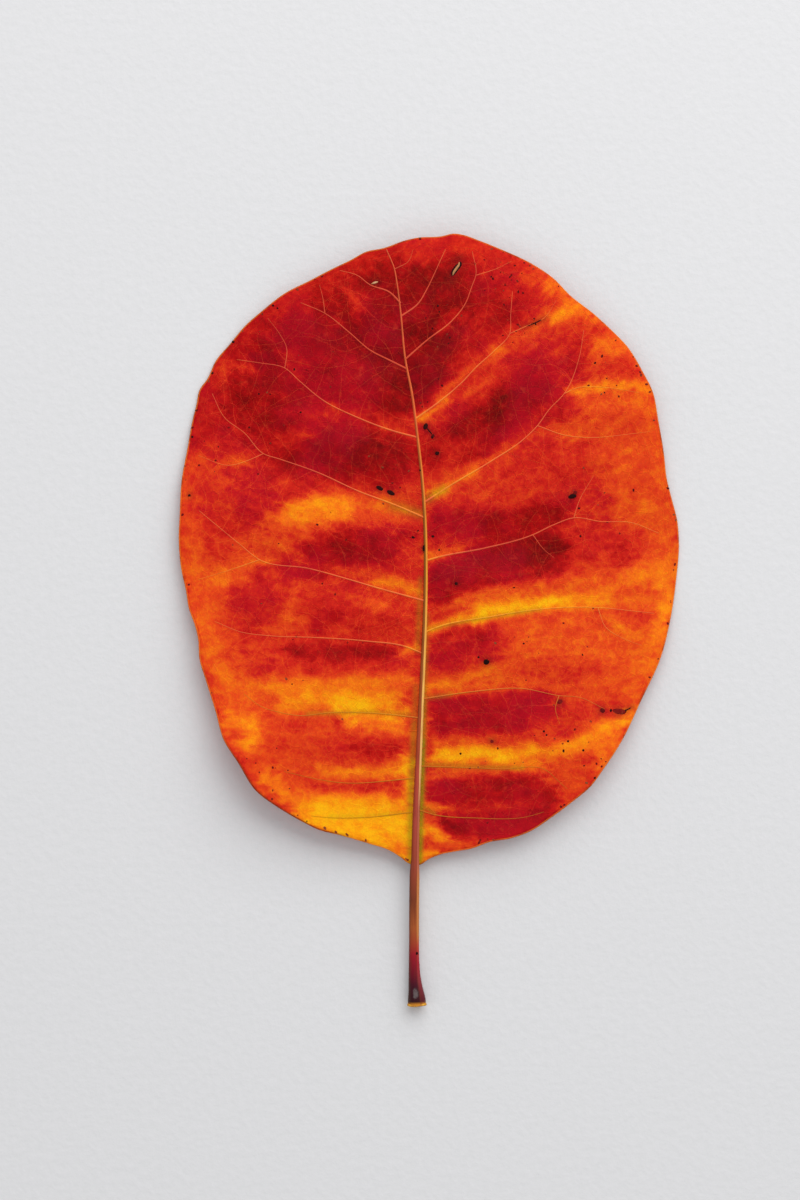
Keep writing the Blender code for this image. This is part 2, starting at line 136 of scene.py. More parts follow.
# The stalk from its cut end into the blade: across, along, height and flare, as in the solid leaf
STALK = [
    (0.22, -15.72, 0.92, 1.0), (0.21, -15.2, 0.92, 0.95), (0.09, -14.0, 0.90, 0.55),
    (-0.05, -12.4, 0.93, 0.22), (-0.10, -10.5, 1.00, 0.05), (-0.10, -8.3, 1.10, 0.0),
    (-0.10, -5.8, 1.24, 0.0), (-0.08, -3.4, 1.40, 0.0), (-0.05, -1.2, 1.53, 0.0),
]
STALK_RADIUS = 0.56
STALK_END_RADIUS = 1.02

# The golden rim of the cut end: its centre, its reach across and upwards, and its half thickness
CUT_CENTRE = (0.22, -15.70, 0.92)
CUT_REACH = (0.95, 0.79)
CUT_THICK = 0.12

# The colours along the stalk and midrib start this far below the blade's base and run this far
FOOT = 16.0
RIB_REACH = 86.0

# The grey hollow at the stalk's foot, in the frame's millimetres
HOLLOW_PLACE = (-1.52, -41.75)
HOLLOW_REACH = (0.34, 0.62)

# The form of the blade's middle surface, as in the solid leaf
FORM_CENTRE = (1.2, 35.5)
FORM_CENTRE_HEIGHT = 1.9
FORM_POWER = 1.7
MARGIN_HEIGHTS = [
    (0, 0.0), (20, 0.7), (45, 1.4), (70, 1.9), (95, 2.1), (120, 1.1), (143, 0.0), (163, 0.9),
    (188, 1.6), (210, 2.6), (234, 4.1), (250, 2.9), (270, 1.6), (284, 2.0), (302, 2.5), (322, 1.8),
    (342, 0.75),
]
MARGIN_HEIGHT_STEP = 4.0
MARGIN_WAVE_HEIGHT = 0.16
MARGIN_WAVES = 13
MARGIN_WAVE_POWER = 5
QUILT_HEIGHT = 0.30
QUILT_REACH = 2.6
QUILT_FADE_POWER = 6
PUCKER_HEIGHT = 0.07

# Heights of ribs above and below the blade, and their half widths, at the root and at the end
MIDRIB_SHAPE = {"width": (0.47, 0.09), "above": (0.42, 0.06), "below": (0.62, 0.10)}
VEIN_SHAPE = {"width": (0.17, 0.06), "above": (0.10, 0.04), "below": (0.34, 0.08)}
BRANCH_SHAPE = {"width": (0.095, 0.04), "above": (0.07, 0.03), "below": (0.20, 0.06)}
LADDER_SHAPE = {"width": (0.055, 0.035), "above": (0.04, 0.02), "below": (0.07, 0.03)}
RIB_STEP = 0.4
LADDER_STEP = 0.45
NET_RIM = 0.3
MARGIN_WIDTH = 0.11
MARGIN_PLAY = 0.02

# Colour of the blade: how warm (0 crimson, 1 yellow), how wide, and the line it follows
GROUND_WARMTH = 0.42
SOFT_EDGE = 0.6
SOFT_SHARE = 0.45
PATCHES = [
    # Upper left: crimson, with a red margin and a few orange patches
    (0.13, 5, [(-16, 58), (-11, 58.5), (-6, 58)]), (0.18, 4.5, [(-18, 51.5), (-13, 52), (-8, 54)]),
    (0.17, 3.2, [(-12.5, 46.3), (-8, 46.2), (-2.5, 46)]), (0.09, 1.8, [(-10.5, 46.5), (-6.5, 46.7)]),
    (0.08, 2.4, [(-6, 60.5), (-3.5, 58.5), (-1.5, 54.5)]),
    (0.14, 2.4, [(-6, 66), (-1.5, 66.2), (3, 65)]), (0.20, 2.6, [(-10, 62.5), (-8, 64)]),
    (0.14, 1, [(-4.5, 62.8), (-0.8, 62.8)]), (0.12, 0.9, [(-3.8, 51.8), (-1.2, 51.4)]),
    (0.30, 1.4, [(-4, 69), (-10.5, 65.2), (-16.5, 61.5), (-21.3, 57.3), (-23.9, 52), (-24.6, 48)]),
    (0.42, 0.8, [(-6.8, 63.2), (-6.6, 62.3)]), (0.40, 0.6, [(-15, 62.4)]),
    (0.43, 0.7, [(-22, 55.2), (-20.4, 55.7), (-18.6, 56)]), (0.36, 0.8, [(-14.2, 57), (-13.2, 55.6)]),
    (0.36, 0.8, [(-12, 50.4), (-9.5, 50.9), (-6, 50.9)]), (0.36, 1, [(-15.4, 47.2), (-12.5, 48.5)]),
    (0.55, 0.3, [(-3.5, 49), (-1.5, 48.5), (0.1, 48.1)]), (0.28, 1.8, [(-21, 49), (-18.8, 47.6)]),
    (0.50, 1.4, [(-25.3, 44), (-25.8, 40), (-25.6, 36)]), (0.45, 1.2, [(-24.8, 44.2), (-21.4, 42.8)]),
    (0.54, 0.5, [(-22.3, 44.5), (-19.8, 45.3), (-18.4, 45.7)]),
    (0.22, 0.7, [(-16.4, 45.1), (-15, 44.6)]), (0.32, 2.2, [(-17.5, 43), (-19, 40.5), (-18.5, 38.5)]),
    (0.36, 1.2, [(-15, 41.8), (-12, 42.4)]),
    (0.60, 1.6, [(-15.2, 37.6), (-12.5, 38.7), (-8, 39.7), (-3, 39.5)]),
    (0.78, 1.1, [(-13.6, 39.5), (-10.8, 40.3), (-8.4, 40.4)]),
    (0.52, 1, [(-5.5, 39.3), (-1.5, 38.9)]), (0.66, 0.2, [(-6, 41), (-2, 40), (0.6, 39.2)]),
    (0.50, 0.7, [(-8.6, 37.6), (-3, 37.9)]),
    # Lower left: red between orange, down to the full yellow of the base
    (0.26, 1.1, [(-7.5, 36.6), (-1, 37.2)]), (0.50, 1.6, [(-19, 36), (-14.5, 36.2)]),
    (0.16, 1.4, [(-10.8, 35), (-8, 35), (-3.6, 35.2)]), (0.40, 0.9, [(-1.4, 33.4), (0.2, 34.4)]),
    (0.46, 0.4, [(-10, 33), (-5.5, 32)]), (0.74, 0.6, [(-4.6, 31.7), (-2, 31.4), (0.3, 30.8)]),
    (0.56, 1.8, [(-25, 35), (-24.2, 31.5), (-23.4, 28)]),
    (0.60, 0.6, [(-23.5, 32.4), (-20, 33.2), (-17, 34)]), (0.62, 1.2, [(-21.5, 32.4), (-19, 32.6)]),
    (0.34, 2, [(-18, 30.6), (-17, 29), (-17.5, 27.6)]), (0.22, 0.8, [(-14.6, 33), (-10.6, 32.2)]),
    (0.54, 0.6, [(-12.8, 31), (-13.8, 29), (-14.3, 27.3)]), (0.56, 0.6, [(-16.6, 26.2), (-14, 26)]),
    (0.38, 2, [(-9, 29.5), (-7.5, 28), (-3, 27.6)]), (0.26, 1, [(-10.6, 27), (-9, 27.8)]),
    (0.52, 0.8, [(-6.2, 29.4), (-3, 29.5)]), (0.78, 0.4, [(-1.6, 24.3), (0.2, 24.4)]),
    (0.19, 1, [(-13.4, 23.8), (-11, 23.7), (-7, 23.6), (-2.8, 23.7)]),
    (0.44, 1.2, [(-19, 25), (-17.6, 23.6)]), (0.36, 0.8, [(-17, 22.1), (-8, 21.7), (-2, 22.2)]),
    (0.62, 1.9, [(-23, 25.5), (-22, 23), (-21, 20)]),
    (0.67, 0.9, [(-18, 20.2), (-8, 20.3), (-1, 20.6)]),
    (0.80, 1.3, [(-14.5, 18.6), (-9, 18.7), (-3.2, 18.5)]), (0.96, 0.7, [(-9, 18), (-5, 17.9)]),
    (0.62, 1, [(-18.6, 19), (-16.5, 18.8)]), (0.62, 0.8, [(-14.5, 17), (-10, 17)]),
    (0.82, 0.8, [(-7, 16.4), (-4.6, 16.4), (-2.2, 16.4)]), (0.80, 0.4, [(-3, 17.3), (-0.6, 17.5)]),
    (0.72, 0.5, [(-5, 15.3), (-0.8, 15)]), (0.44, 0.5, [(-15.4, 15.9), (-11.5, 15.9)]),
    (0.42, 1.2, [(-14.5, 13.8), (-10, 13.8), (-5, 13.2), (-1.2, 13.2)]),
    (0.26, 0.6, [(-6.5, 13.2), (-2.4, 13)]), (0.54, 0.5, [(-15, 14.6), (-9, 14.8)]),
    (0.78, 1.2, [(-20.6, 16.6), (-18, 15.8), (-18.6, 13.8)]),
    (0.58, 0.6, [(-16.6, 17.2), (-16.2, 15)]), (0.52, 1.2, [(-17.5, 11.6), (-12.5, 11.8)]),
    (0.74, 0.7, [(-10.5, 10.4), (-5, 10.4), (-1, 10.8)]), (0.56, 0.5, [(-12.8, 9.9), (-9, 9.8)]),
    (0.34, 0.4, [(-11.2, 8.7), (-8, 8.6), (-2.2, 8.7)]), (0.70, 1.4, [(-16.8, 9.4), (-13.4, 7.4)]),
    (0.46, 0.5, [(-18.4, 9.8), (-15.8, 7.2), (-13.4, 5.6)]),
    (0.94, 1.9, [(-10.8, 6), (-8, 5.9), (-3.2, 5.6), (-1.4, 4)]), (1.00, 1, [(-8, 3.9), (-4, 3)]),
    (0.90, 0.5, [(-0.8, 12), (-0.8, 6), (-0.9, 2.5)]),
    # Upper right: dark crimson crossed by the orange bands along the veins
    (0.36, 2.4, [(0.5, 69.3), (4.5, 69.2), (9, 67.3), (12, 65.6)]), (0.48, 1, [(13, 66), (16, 64.6)]),
    (0.22, 3, [(5, 64.5), (8, 62.6), (10.5, 62)]), (0.32, 1.2, [(11.4, 64), (12.6, 62.6)]),
    (0.12, 2.2, [(0.6, 65), (3.6, 64)]),
    (0.08, 2.6, [(0.8, 60), (3.5, 58.6), (2.6, 56.5), (0.8, 54.5)]),
    (0.36, 0.5, [(2.8, 60), (4.4, 61.2)]), (0.40, 1.4, [(11.5, 57.6), (14.5, 58.2)]),
    (0.30, 1.6, [(5.5, 56), (7.5, 58)]), (0.54, 0.4, [(2.4, 52), (4.8, 54.2), (7.6, 56.5)]),
    (0.66, 0.5, [(8.6, 57.2), (10.6, 57.8)]), (0.46, 0.9, [(10.4, 58.8), (13, 59.6)]),
    (0.52, 0.9, [(13.2, 60.4), (15, 61.4)]), (0.78, 0.8, [(16, 60.9), (17.6, 62.4)]),
    (0.66, 0.6, [(15.4, 65.2), (17.5, 63.2), (20, 61.2), (22.5, 59), (25.6, 54.8)]),
    (0.86, 0.2, [(0.6, 49.9), (1.8, 50.7), (3.4, 51.8)]), (0.56, 0.5, [(6.6, 53.2), (8.2, 52.4)]),
    (0.46, 0.8, [(3.2, 50.6), (6, 50.8)]),
    (0.10, 2.5, [(5.5, 48.3), (9, 49.8), (11.5, 51.8), (13.5, 54)]),
    (0.24, 1.6, [(15, 55.4), (18, 56.4)]), (0.40, 1.4, [(15.5, 58), (17.6, 59)]),
    (0.60, 1.4, [(20.8, 57.8), (22.6, 58.4), (24.2, 57)]), (0.56, 0.8, [(20, 60.4), (21.3, 60.2)]),
    (0.44, 1, [(20, 55.6), (24.8, 55)]),
    (0.76, 0.6, [(18, 53), (20, 53.4), (23, 53.6), (27.2, 53.2)]),
    (0.70, 0.8, [(21, 51.8), (25.4, 51.6)]), (0.26, 1.2, [(15.8, 50.6), (17.4, 51)]),
    (0.50, 1.8, [(19, 50.6), (22, 50.2), (25, 49.8)]),
    (0.78, 0.7, [(14.8, 48.5), (18, 48.1), (21.6, 47.9)]),
    (0.58, 1.2, [(26.8, 50), (27, 47), (27.6, 43)]), (0.38, 3.8, [(15, 45.4), (19, 44)]),
    (0.53, 3.2, [(23.4, 45.2), (25, 43)]), (0.30, 2, [(1.6, 47), (4.5, 45.8), (6.5, 46.8)]),
    (0.90, 0.5, [(2.3, 41.6), (4.4, 42.5), (6.4, 43.8)]), (0.48, 0.6, [(3.4, 43.4), (6.5, 44.8)]),
    (0.62, 0.15, [(6.2, 44), (9, 45.8), (11, 47)]), (0.44, 1.2, [(5, 41.6), (8, 42.2), (12, 42.6)]),
    (0.38, 0.8, [(9, 43.6), (13, 44.4)]), (0.20, 1.6, [(3, 38.4), (7, 38.3), (12, 38.5), (16, 39.4)]),
    (0.50, 0.2, [(20, 38.8), (22, 38.6), (25, 38.2)]), (0.60, 1.6, [(25, 39.6), (28, 39)]),
    # Lower right: yellow bands above the veins, dark red below them
    (0.36, 0.6, [(1.8, 36.2), (4.2, 36.3)]), (0.88, 0.45, [(1.6, 34.2), (3.2, 34.6), (4.8, 35)]),
    (0.36, 1.8, [(17, 36.4), (23, 36.2)]), (0.56, 1.8, [(28.2, 38.6), (28.6, 36), (28.4, 33.5)]),
    (0.07, 2, [(3.5, 32.4), (7, 33.4), (11, 34.4), (15, 35)]),
    (0.22, 1, [(2.6, 30.2), (8, 31.8), (14.5, 33)]), (0.48, 0.8, [(17.6, 32.4), (21.5, 32.4)]),
    (0.60, 0.7, [(4.6, 29.4), (9, 30.6), (14, 31.2), (20, 31.6)]),
    (1.00, 0.5, [(1.8, 26.4), (4.5, 27), (6.8, 27.6)]),
    (0.98, 0.9, [(7.6, 28.3), (10, 28.7), (14, 29.2), (16.4, 29.5)]),
    (0.82, 0.9, [(18, 29.4), (21, 29.5)]), (0.68, 1.2, [(22, 30.8), (24.6, 32), (26, 33)]),
    (0.60, 1, [(23.4, 29.8), (26, 29.4)]),
    (0.73, 1.4, [(28, 32.4), (28.2, 30), (27.6, 26.6), (26.6, 23)]),
    (0.56, 3, [(13, 24.6), (17, 25), (21, 24.6), (24, 23.4)]),
    (0.54, 0.6, [(10, 26.8), (14, 27.2), (19, 27.4), (24, 27.4)]),
    (0.30, 1.5, [(2.8, 24.8), (6, 25.2), (8.6, 25.2)]), (0.28, 1, [(2.6, 23.2), (6.2, 24)]),
    (0.70, 0.5, [(22, 27), (24.5, 25.6)]),
    (0.72, 0.6, [(1.8, 19.9), (4.2, 20.6), (7, 21.4), (9.5, 22)]),
    (0.74, 0.3, [(1.5, 19.1), (5.5, 19.7), (9.5, 20)]), (0.58, 0.8, [(8, 20.8), (11, 20.8)]),
    (0.46, 1.4, [(13.5, 22), (18, 21.2)]), (0.54, 1.2, [(20, 20.4), (24.4, 20)]),
    (0.58, 0.4, [(12, 20.4), (16.5, 19.6), (20.5, 18.8)]), (0.62, 0.9, [(25.4, 22.6), (25, 19.6)]),
    (0.20, 1.5, [(2.6, 17.4), (6, 17.6), (10, 17.5), (14, 17.7)]),
    (0.16, 0.6, [(1.9, 15.6), (7, 15.6), (12, 15.7)]), (0.40, 1.2, [(16.6, 17.5), (19.6, 17.2)]),
    (0.80, 0.9, [(18.6, 14.4), (22.4, 15.5), (24.2, 16.8)]),
    (0.46, 0.5, [(3.5, 14), (9, 14.1), (14, 14.3), (18, 15.1)]),
    (0.86, 1.1, [(3.2, 12.3), (5, 12.4), (10, 12.4), (13, 12.4)]),
    (0.96, 0.4, [(3.4, 12.6), (6, 12.6), (10, 12.5)]),
    (0.78, 0.9, [(15, 12.5), (18, 13.4), (20.5, 14)]), (0.70, 0.9, [(22, 13.2), (20.8, 11.4)]),
    (0.70, 0.4, [(2.6, 10.6), (9.5, 10.7), (14, 10.9)]),
    (0.20, 1.5, [(3.4, 8.6), (7, 8.7), (12, 8.6), (15, 8)]),
    (0.60, 0.3, [(1.8, 9.8), (6, 10.2), (9.5, 10.4)]), (0.50, 1.1, [(16.6, 10), (19.4, 11.2)]),
    (0.46, 0.9, [(16.6, 8), (18.2, 8.8)]), (0.76, 0.35, [(1.4, 6.9), (3.4, 6.3), (5.4, 5.8)]),
    (0.14, 1.4, [(4.4, 4.6), (7, 4.4), (11, 4.6), (14, 5.4)]),
    (0.84, 0.5, [(1.2, 3.9), (3, 3.1), (4.6, 2.6)]), (0.50, 0.4, [(4.6, 2.5), (6.6, 2.6)]),
    (0.40, 0.3, [(1.6, 2), (3.4, 1.8), (4.6, 2)]),
    (0.92, 0.6, [(-9.8, 4.6), (-5.5, 2.7), (-2.6, 1.3), (-0.5, 0.5)]),
    (0.92, 0.5, [(0.6, 0.6), (1.9, 1)]), (0.60, 0.3, [(1.3, 15.2), (1.5, 17.2)]),
]

# Green left beside the midrib and the first veins: how strong, how wide, and the line
GREEN_LINES = [
    (0.65, 0.40, [(-0.56, -0.8), (-0.46, 8), (-0.26, 12)]), (0.45, 0.38, [(-0.26, 12), (-0.10, 16)]),
    (0.30, 0.35, [(-0.10, 14), (0.10, 20)]), (0.95, 0.30, [(0.55, -0.8), (0.74, 8), (0.92, 14)]),
    (0.70, 0.28, [(0.92, 14), (1.02, 20)]), (0.45, 0.28, [(1.10, 20), (1.30, 28)]),
    (0.35, 0.30, [(0.3, 24), (0.6, 32)]),
    (0.45, 0.25, [(1.6, 26.4), (4.5, 27.1), (8.5, 27.8), (14, 28.7)]),
    (0.40, 0.25, [(1, 18.7), (4, 19.1)]), (0.45, 0.25, [(1, 11.3), (6, 11.1), (12, 10.9)]),
    (0.55, 0.20, [(0.9, 6.6), (2.2, 5.8)]), (0.40, 0.25, [(-0.4, 16.9), (-5, 17.2), (-12, 17)]),
    (0.35, 0.18, [(-0.4, 6), (-5.4, 5.5), (-9.6, 5.5)]), (0.50, 0.50, [(1.4, 41), (3.2, 42.1)]),
    (0.40, 0.60, [(-2.5, 40.2), (0.4, 39.4)]),
]

# Dead spots: across, along, radius, how much longer than wide, how far turned in degrees, and
# tone, from 0 for black through brown at 0.5 to pale at 1
SPOTS = [
    (4.6, 31.5, 0.20, 1, 0, 0.1), (8, 22.8, 0.34, 1.1, 40, 0), (7.1, 23.3, 0.13, 1, 0, 0.1),
    (20.95, 17.3, 0.30, 1, 0, 0.3), (16.2, 18.3, 0.26, 1.3, 20, 0.4), (1.2, 49.1, 0.26, 1.5, 70, 0.1),
    (2, 48, 0.18, 1.6, 60, 0.2), (2.5, 46.1, 0.22, 1.3, 20, 0.1), (2, 36.8, 0.15, 1.2, 0, 0.1),
    (2.7, 35.3, 0.14, 1, 0, 0.1), (5.1, 12.5, 0.13, 1, 0, 0), (8.6, 13.9, 0.20, 1, 0, 0.4),
    (14.4, 15, 0.14, 1, 0, 0.1), (14.7, 14.6, 0.12, 1, 0, 0.1), (17.1, 13.9, 0.14, 1, 0, 0.1),
    (18.8, 12.9, 0.14, 1, 0, 0.1), (20.1, 9.8, 0.14, 1, 0, 0.1), (16.3, 6.6, 0.14, 1, 0, 0.1),
    (-20.4, 58.7, 0.15, 1.2, 0, 0.1), (-22.8, 55.2, 0.15, 1, 0, 0.1), (-25.3, 41.4, 0.16, 1, 0, 0.1),
    (-25, 48, 0.14, 1, 0, 0.1), (-17.5, 52.8, 0.12, 1, 0, 0.1), (-12.8, 50.7, 0.13, 1, 0, 0.1),
    (-15.9, 62.7, 0.14, 1, 0, 0.1), (-15.4, 62.4, 0.12, 1, 0, 0.1), (-3.9, 42.2, 0.24, 2, -25, 0.1),
    (-2.7, 41.7, 0.26, 1.9, -25, 0.1), (17.5, 41.3, 0.27, 2.3, 8, 0.05),
    (17.9, 41.7, 0.20, 1.5, 30, 0.35), (22.8, 17.2, 0.34, 2.4, -6, 0.42),
    (23.5, 17.2, 0.14, 2, 60, 0.1), (21.9, 17.3, 0.14, 1.6, 70, 0.15),
    (0.18, -9.9, 0.17, 1.1, 0, 0.1), (1.02, 35.5, 0.17, 2.3, 86, 0), (-0.3, 36.7, 0.13, 2.4, -8, 0.1),
    (0.3, 37.4, 0.09, 2, 50, 0.1), (0.6, 44.2, 0.10, 1.5, 0, 0.1),
]

# Old wounds, each a line of points with a half width and a tone
SCARS = [
    ([(4.9, 67.8), (5, 67.3), (4.65, 66.8), (4.35, 66.4), (4.05, 65.7)], 0.40, 0.1),
    ([(4.93, 67.6), (4.95, 67.3), (4.65, 66.8), (4.37, 66.4), (4.15, 65.9)], 0.18, 0.76),
    ([(-4.9, 65.05), (-4.5, 65.2), (-4.1, 65.3)], 0.13, 0.84),
    ([(12, 60.2), (13.2, 60.6), (14.5, 61.2)], 0.09, 0.2),
    ([(1.2, 49.1), (1.6, 48.6), (2.1, 48)], 0.10, 0.15),
    ([(23.2, 17.2), (23.7, 17.4), (24.3, 17.7)], 0.10, 0.2),
]

# Patches where tiny spots lie thick: across, along, reach, how many
SPOT_PATCHES = [
    (9.5, 65.5, 3.4, 24), (11, 61, 2.6, 12), (3.5, 60, 3, 10), (22, 55, 3, 9), (20, 40, 5, 10),
    (17, 14, 4.5, 12), (8, 8, 5.5, 9), (-14, 55, 6, 12), (-20, 46, 4.5, 9), (-12, 22, 7, 12),
    (-16, 11, 3.5, 9), (-14, 35, 7, 8), (14, 27, 7, 12), (-3, 44, 4, 7), (2, 52, 3, 6),
]
MARGIN_SPOTS = 60


def smooth_curve(points, spacing, closed=False):
    """Points at about the given spacing along a smooth curve through the given points."""
    points = np.asarray(points, dtype=float)
    if closed:
        points = np.vstack([points[-1:], points, points[:2]])
    else:
        points = np.vstack([2 * points[0] - points[1], points, 2 * points[-1] - points[-2]])
    spans = np.linalg.norm(np.diff(points, axis=0), axis=1)
    rates = np.diff(points, axis=0) / spans[:, None]
    weights = (spans[:-1] / (spans[:-1] + spans[1:]))[:, None]
    tangents = rates[:-1] * (1 - weights) + rates[1:] * weights
    curve = []
    for i in range(1, len(points) - 2):
        pull_out = tangents[i - 1] * spans[i]
        pull_in = tangents[i] * spans[i]
        steps = max(1, round(spans[i] / spacing))
        for t in np.arange(steps) / steps:
            ease = 3 * t ** 2 - 2 * t ** 3
            bend = pull_out * (t ** 3 - 2 * t ** 2 + t) + pull_in * (t ** 3 - t ** 2)
            curve.append(points[i] * (1 - ease) + points[i + 1] * ease + bend)
    if not closed:
        curve.append(points[-2])
    return np.array(curve)


def distance_to_line(places, line):
    """Each place's distance to a line of points, or to its one point."""
    line = np.asarray(line, dtype=float)
    if len(line) == 1:
        return np.linalg.norm(places - line[0], axis=1)
    nearest = np.full(len(places), np.inf)
    for start, end in zip(line[:-1], line[1:]):
        step = end - start
        share = np.clip((places - start) @ step / (step @ step), 0.0, 1.0)
        gap = np.linalg.norm(places - (start + share[:, None] * step), axis=1)
        nearest = np.minimum(nearest, gap)
    return nearest


def is_inside(places, outline):
    """Whether each place lies inside the margin."""
    ring = np.vstack([outline, outline[:1]])
    inside = np.zeros(len(places), dtype=bool)
    for start, end in zip(ring[:-1], ring[1:]):
        crosses = (start[1] > places[:, 1]) != (end[1] > places[:, 1])
        if crosses.any():
            at = start[0] + (places[:, 1] - start[1]) / (end[1] - start[1]) * (end[0] - start[0])
            inside ^= crosses & (places[:, 0] < at)
    return inside


def smooth_step(value):
    """An eased value from 0 to 1."""
    value = np.clip(value, 0.0, 1.0)
    return value * value * (3.0 - 2.0 * value)


def grain(places, size, seed, octaves=3):
    """Smooth noise, about -1 to 1, at each place. The size is in millimetres, along and across."""
    size = np.broadcast_to(size, 2)
    return np.array([
        noise.fractal(Vector((x / size[0], y / size[1], seed)), 1.0, 2.0, octaves)
        for x, y in places
    ])


class Form:
    """The blade's outline and ribs, and the waved surface that every piece lies on."""

    def __init__(self):
        self.outline = smooth_curve(OUTLINE, 0.5, closed=True)
        self.midrib = smooth_curve(MIDRIB, RIB_STEP)
        self.veins = [smooth_curve(points, RIB_STEP) for points in LEFT_VEINS + RIGHT_VEINS]
        self.branches = [smooth_curve(points, RIB_STEP) for points in BRANCHES]
        self.ribs = [self.midrib] + self.veins + self.branches
        turns = [
            (degrees + 360 * lap, height) for lap in (-1, 0, 1) for degrees, height in MARGIN_HEIGHTS
        ]
        self.margin_heights = smooth_curve(turns, MARGIN_HEIGHT_STEP)

    def rib_distance(self, places):
        """Each place's distance to the nearest rib."""
        return np.min([distance_to_line(places, rib[::2]) for rib in self.ribs], axis=0)

    def rim_distance(self, places):
        """Each place's distance to the margin."""
        return distance_to_line(places, np.vstack([self.outline, self.outline[:1]]))

    def middle(self, places):
        """The height of the blade's middle surface, with the swelling between its veins."""
        offset = places - np.array(FORM_CENTRE)
        bearing = np.degrees(np.arctan2(offset[:, 1], offset[:, 0])) % 360.0
        rim = self.outline - np.array(FORM_CENTRE)
        rim_bearing = np.degrees(np.arctan2(rim[:, 1], rim[:, 0])) % 360.0
        reach = np.interp(bearing, rim_bearing, np.linalg.norm(rim, axis=1), period=360.0)
        share = np.clip(np.linalg.norm(offset, axis=1) / reach, 0.0, 1.0)
        margin = np.interp(bearing, self.margin_heights[:, 0], self.margin_heights[:, 1])
        wave = MARGIN_WAVE_HEIGHT * np.sin(np.radians(bearing * MARGIN_WAVES))
        wave *= np.clip(margin, 0.0, 1.0)
        height = FORM_CENTRE_HEIGHT + (margin - FORM_CENTRE_HEIGHT) * share ** FORM_POWER
        height += wave * share ** MARGIN_WAVE_POWER
        swell = QUILT_HEIGHT * (1.0 - np.exp(-(self.rib_distance(places) / QUILT_REACH) ** 2))
        swell += PUCKER_HEIGHT * grain(places, 2.4, 21.0)
        return height + swell * (1.0 - share ** QUILT_FADE_POWER)

    def underside(self, places, thickness):
        """The height of the blade's underside, which never goes below the ground."""
        return np.clip(self.middle(places) - thickness / 2, 0.0, None)

    def top(self, places, thickness):
        """The height of what lies uppermost: the blade, or the midrib on it."""
        share = np.clip(places[:, 1] / MIDRIB[-1][1], 0.0, 1.0) ** 0.8
        width, rise = (
            MIDRIB_SHAPE[name][0] + (MIDRIB_SHAPE[name][1] - MIDRIB_SHAPE[name][0]) * share
            for name in ("width", "above")
        )
        bulge = np.clip(1.0 - (distance_to_line(places, self.midrib) / width) ** 2, 0.0, None)
        blade = self.underside(places, thickness) + thickness + rise * np.sqrt(bulge)
        shaft = np.array(STALK)
        across, height, flare = (np.interp(places[:, 1], shaft[:, 1], shaft[:, i]) for i in (0, 2, 3))
        radius = stalk_radius(flare)
        bulge = np.clip(1.0 - ((places[:, 0] - across) / radius) ** 2, 0.0, None)
        return np.where(places[:, 1] < 0.0, height + radius * np.sqrt(bulge), blade)


def stalk_radius(flare):
    """The stalk's radius, from its shaft at flare 0 to its foot at 1."""
    return STALK_RADIUS + (STALK_END_RADIUS - STALK_RADIUS) * flare


def along_veins(places):
    """Each place's way out from the midrib, and the unit direction of the veins there."""
    line = np.array(MIDRIB)
    across = places[:, 0] - np.interp(places[:, 1], line[:, 1], line[:, 0])
    slope = np.interp(places[:, 1] - np.abs(across) * 0.3, [0, 20, 40, 60], [0.02, 0.10, 0.42, 0.80])
    side = np.sign(across)
    direction = np.column_stack([side, slope]) / np.sqrt(1 + slope ** 2)[:, None]
    root = places[:, 1] - np.abs(across) * slope
    return across, root, direction


def paint_warmth(places):
    """How warm the blade's colour is at each place, from 0 for crimson to 1 for yellow."""
    across, root, direction = along_veins(places)
    flow = np.column_stack([across, root])
    slide = 1.1 * grain(flow, (4.0, 1.1), 3.0) + 0.8 * grain(flow, (1.6, 0.30), 5.0)
    drift = 0.40 * grain(places, 3.0, 7.0) + 0.28 * grain(places, 0.9, 9.0)
    side = np.column_stack([-direction[:, 1], direction[:, 0]])
    moved = places + direction * slide[:, None] + side * drift[:, None]
    warmth = np.full(len(places), GROUND_WARMTH)
    for level, radius, line in PATCHES:
        soft = SOFT_EDGE + SOFT_SHARE * radius
        cover = smooth_step((radius + soft - distance_to_line(moved, line)) / (2 * soft))
        warmth += (level - warmth) * cover
    warmth += 0.07 * grain(flow, (2.6, 0.5), 11.0, 4) + 0.07 * grain(places, 1.4, 13.0, 4)
    return np.clip(warmth, 0.0, 1.0)


def paint_lines(places, lines):
    """How strongly each place is covered by soft lines."""
    cover = np.zeros(len(places))
    for strength, radius, line in lines:
        cover = np.maximum(cover, strength * np.exp(-(distance_to_line(places, line) / radius) ** 2))
    return cover


class Wire:
    """A node's output, or a number, in an expression that adds its Math nodes."""

    def __init__(self, maker, value):
        self.maker = maker
        self.value = value

    def math(self, operation, *others):
        """This value and the others through one Math node."""
        inputs = dict(enumerate((self,) + others))
        return self.maker.add("ShaderNodeMath", {"operation": operation}, inputs)

    def __add__(self, other):
        return self.math("ADD", other)

    def __radd__(self, other):
        return self.maker.wire(other).math("ADD", self)

    def __sub__(self, other):
        return self.math("SUBTRACT", other)

    def __rsub__(self, other):
        return self.maker.wire(other).math("SUBTRACT", self)

    def __mul__(self, other):
        return self.math("MULTIPLY", other)

    def __truediv__(self, other):
        return self.math("DIVIDE", other)

    def clamp(self):
        """This value held between 0 and 1."""
        return self.math("MAXIMUM", 0.0).math("MINIMUM", 1.0)

    def rise(self, low, high):
        """An eased rise from 0 at the low value to 1 at the high one."""
        settings = {"interpolation_type": "SMOOTHSTEP"}
        return self.maker.add("ShaderNodeMapRange", settings, {"Value": self, 1: low, 2: high})


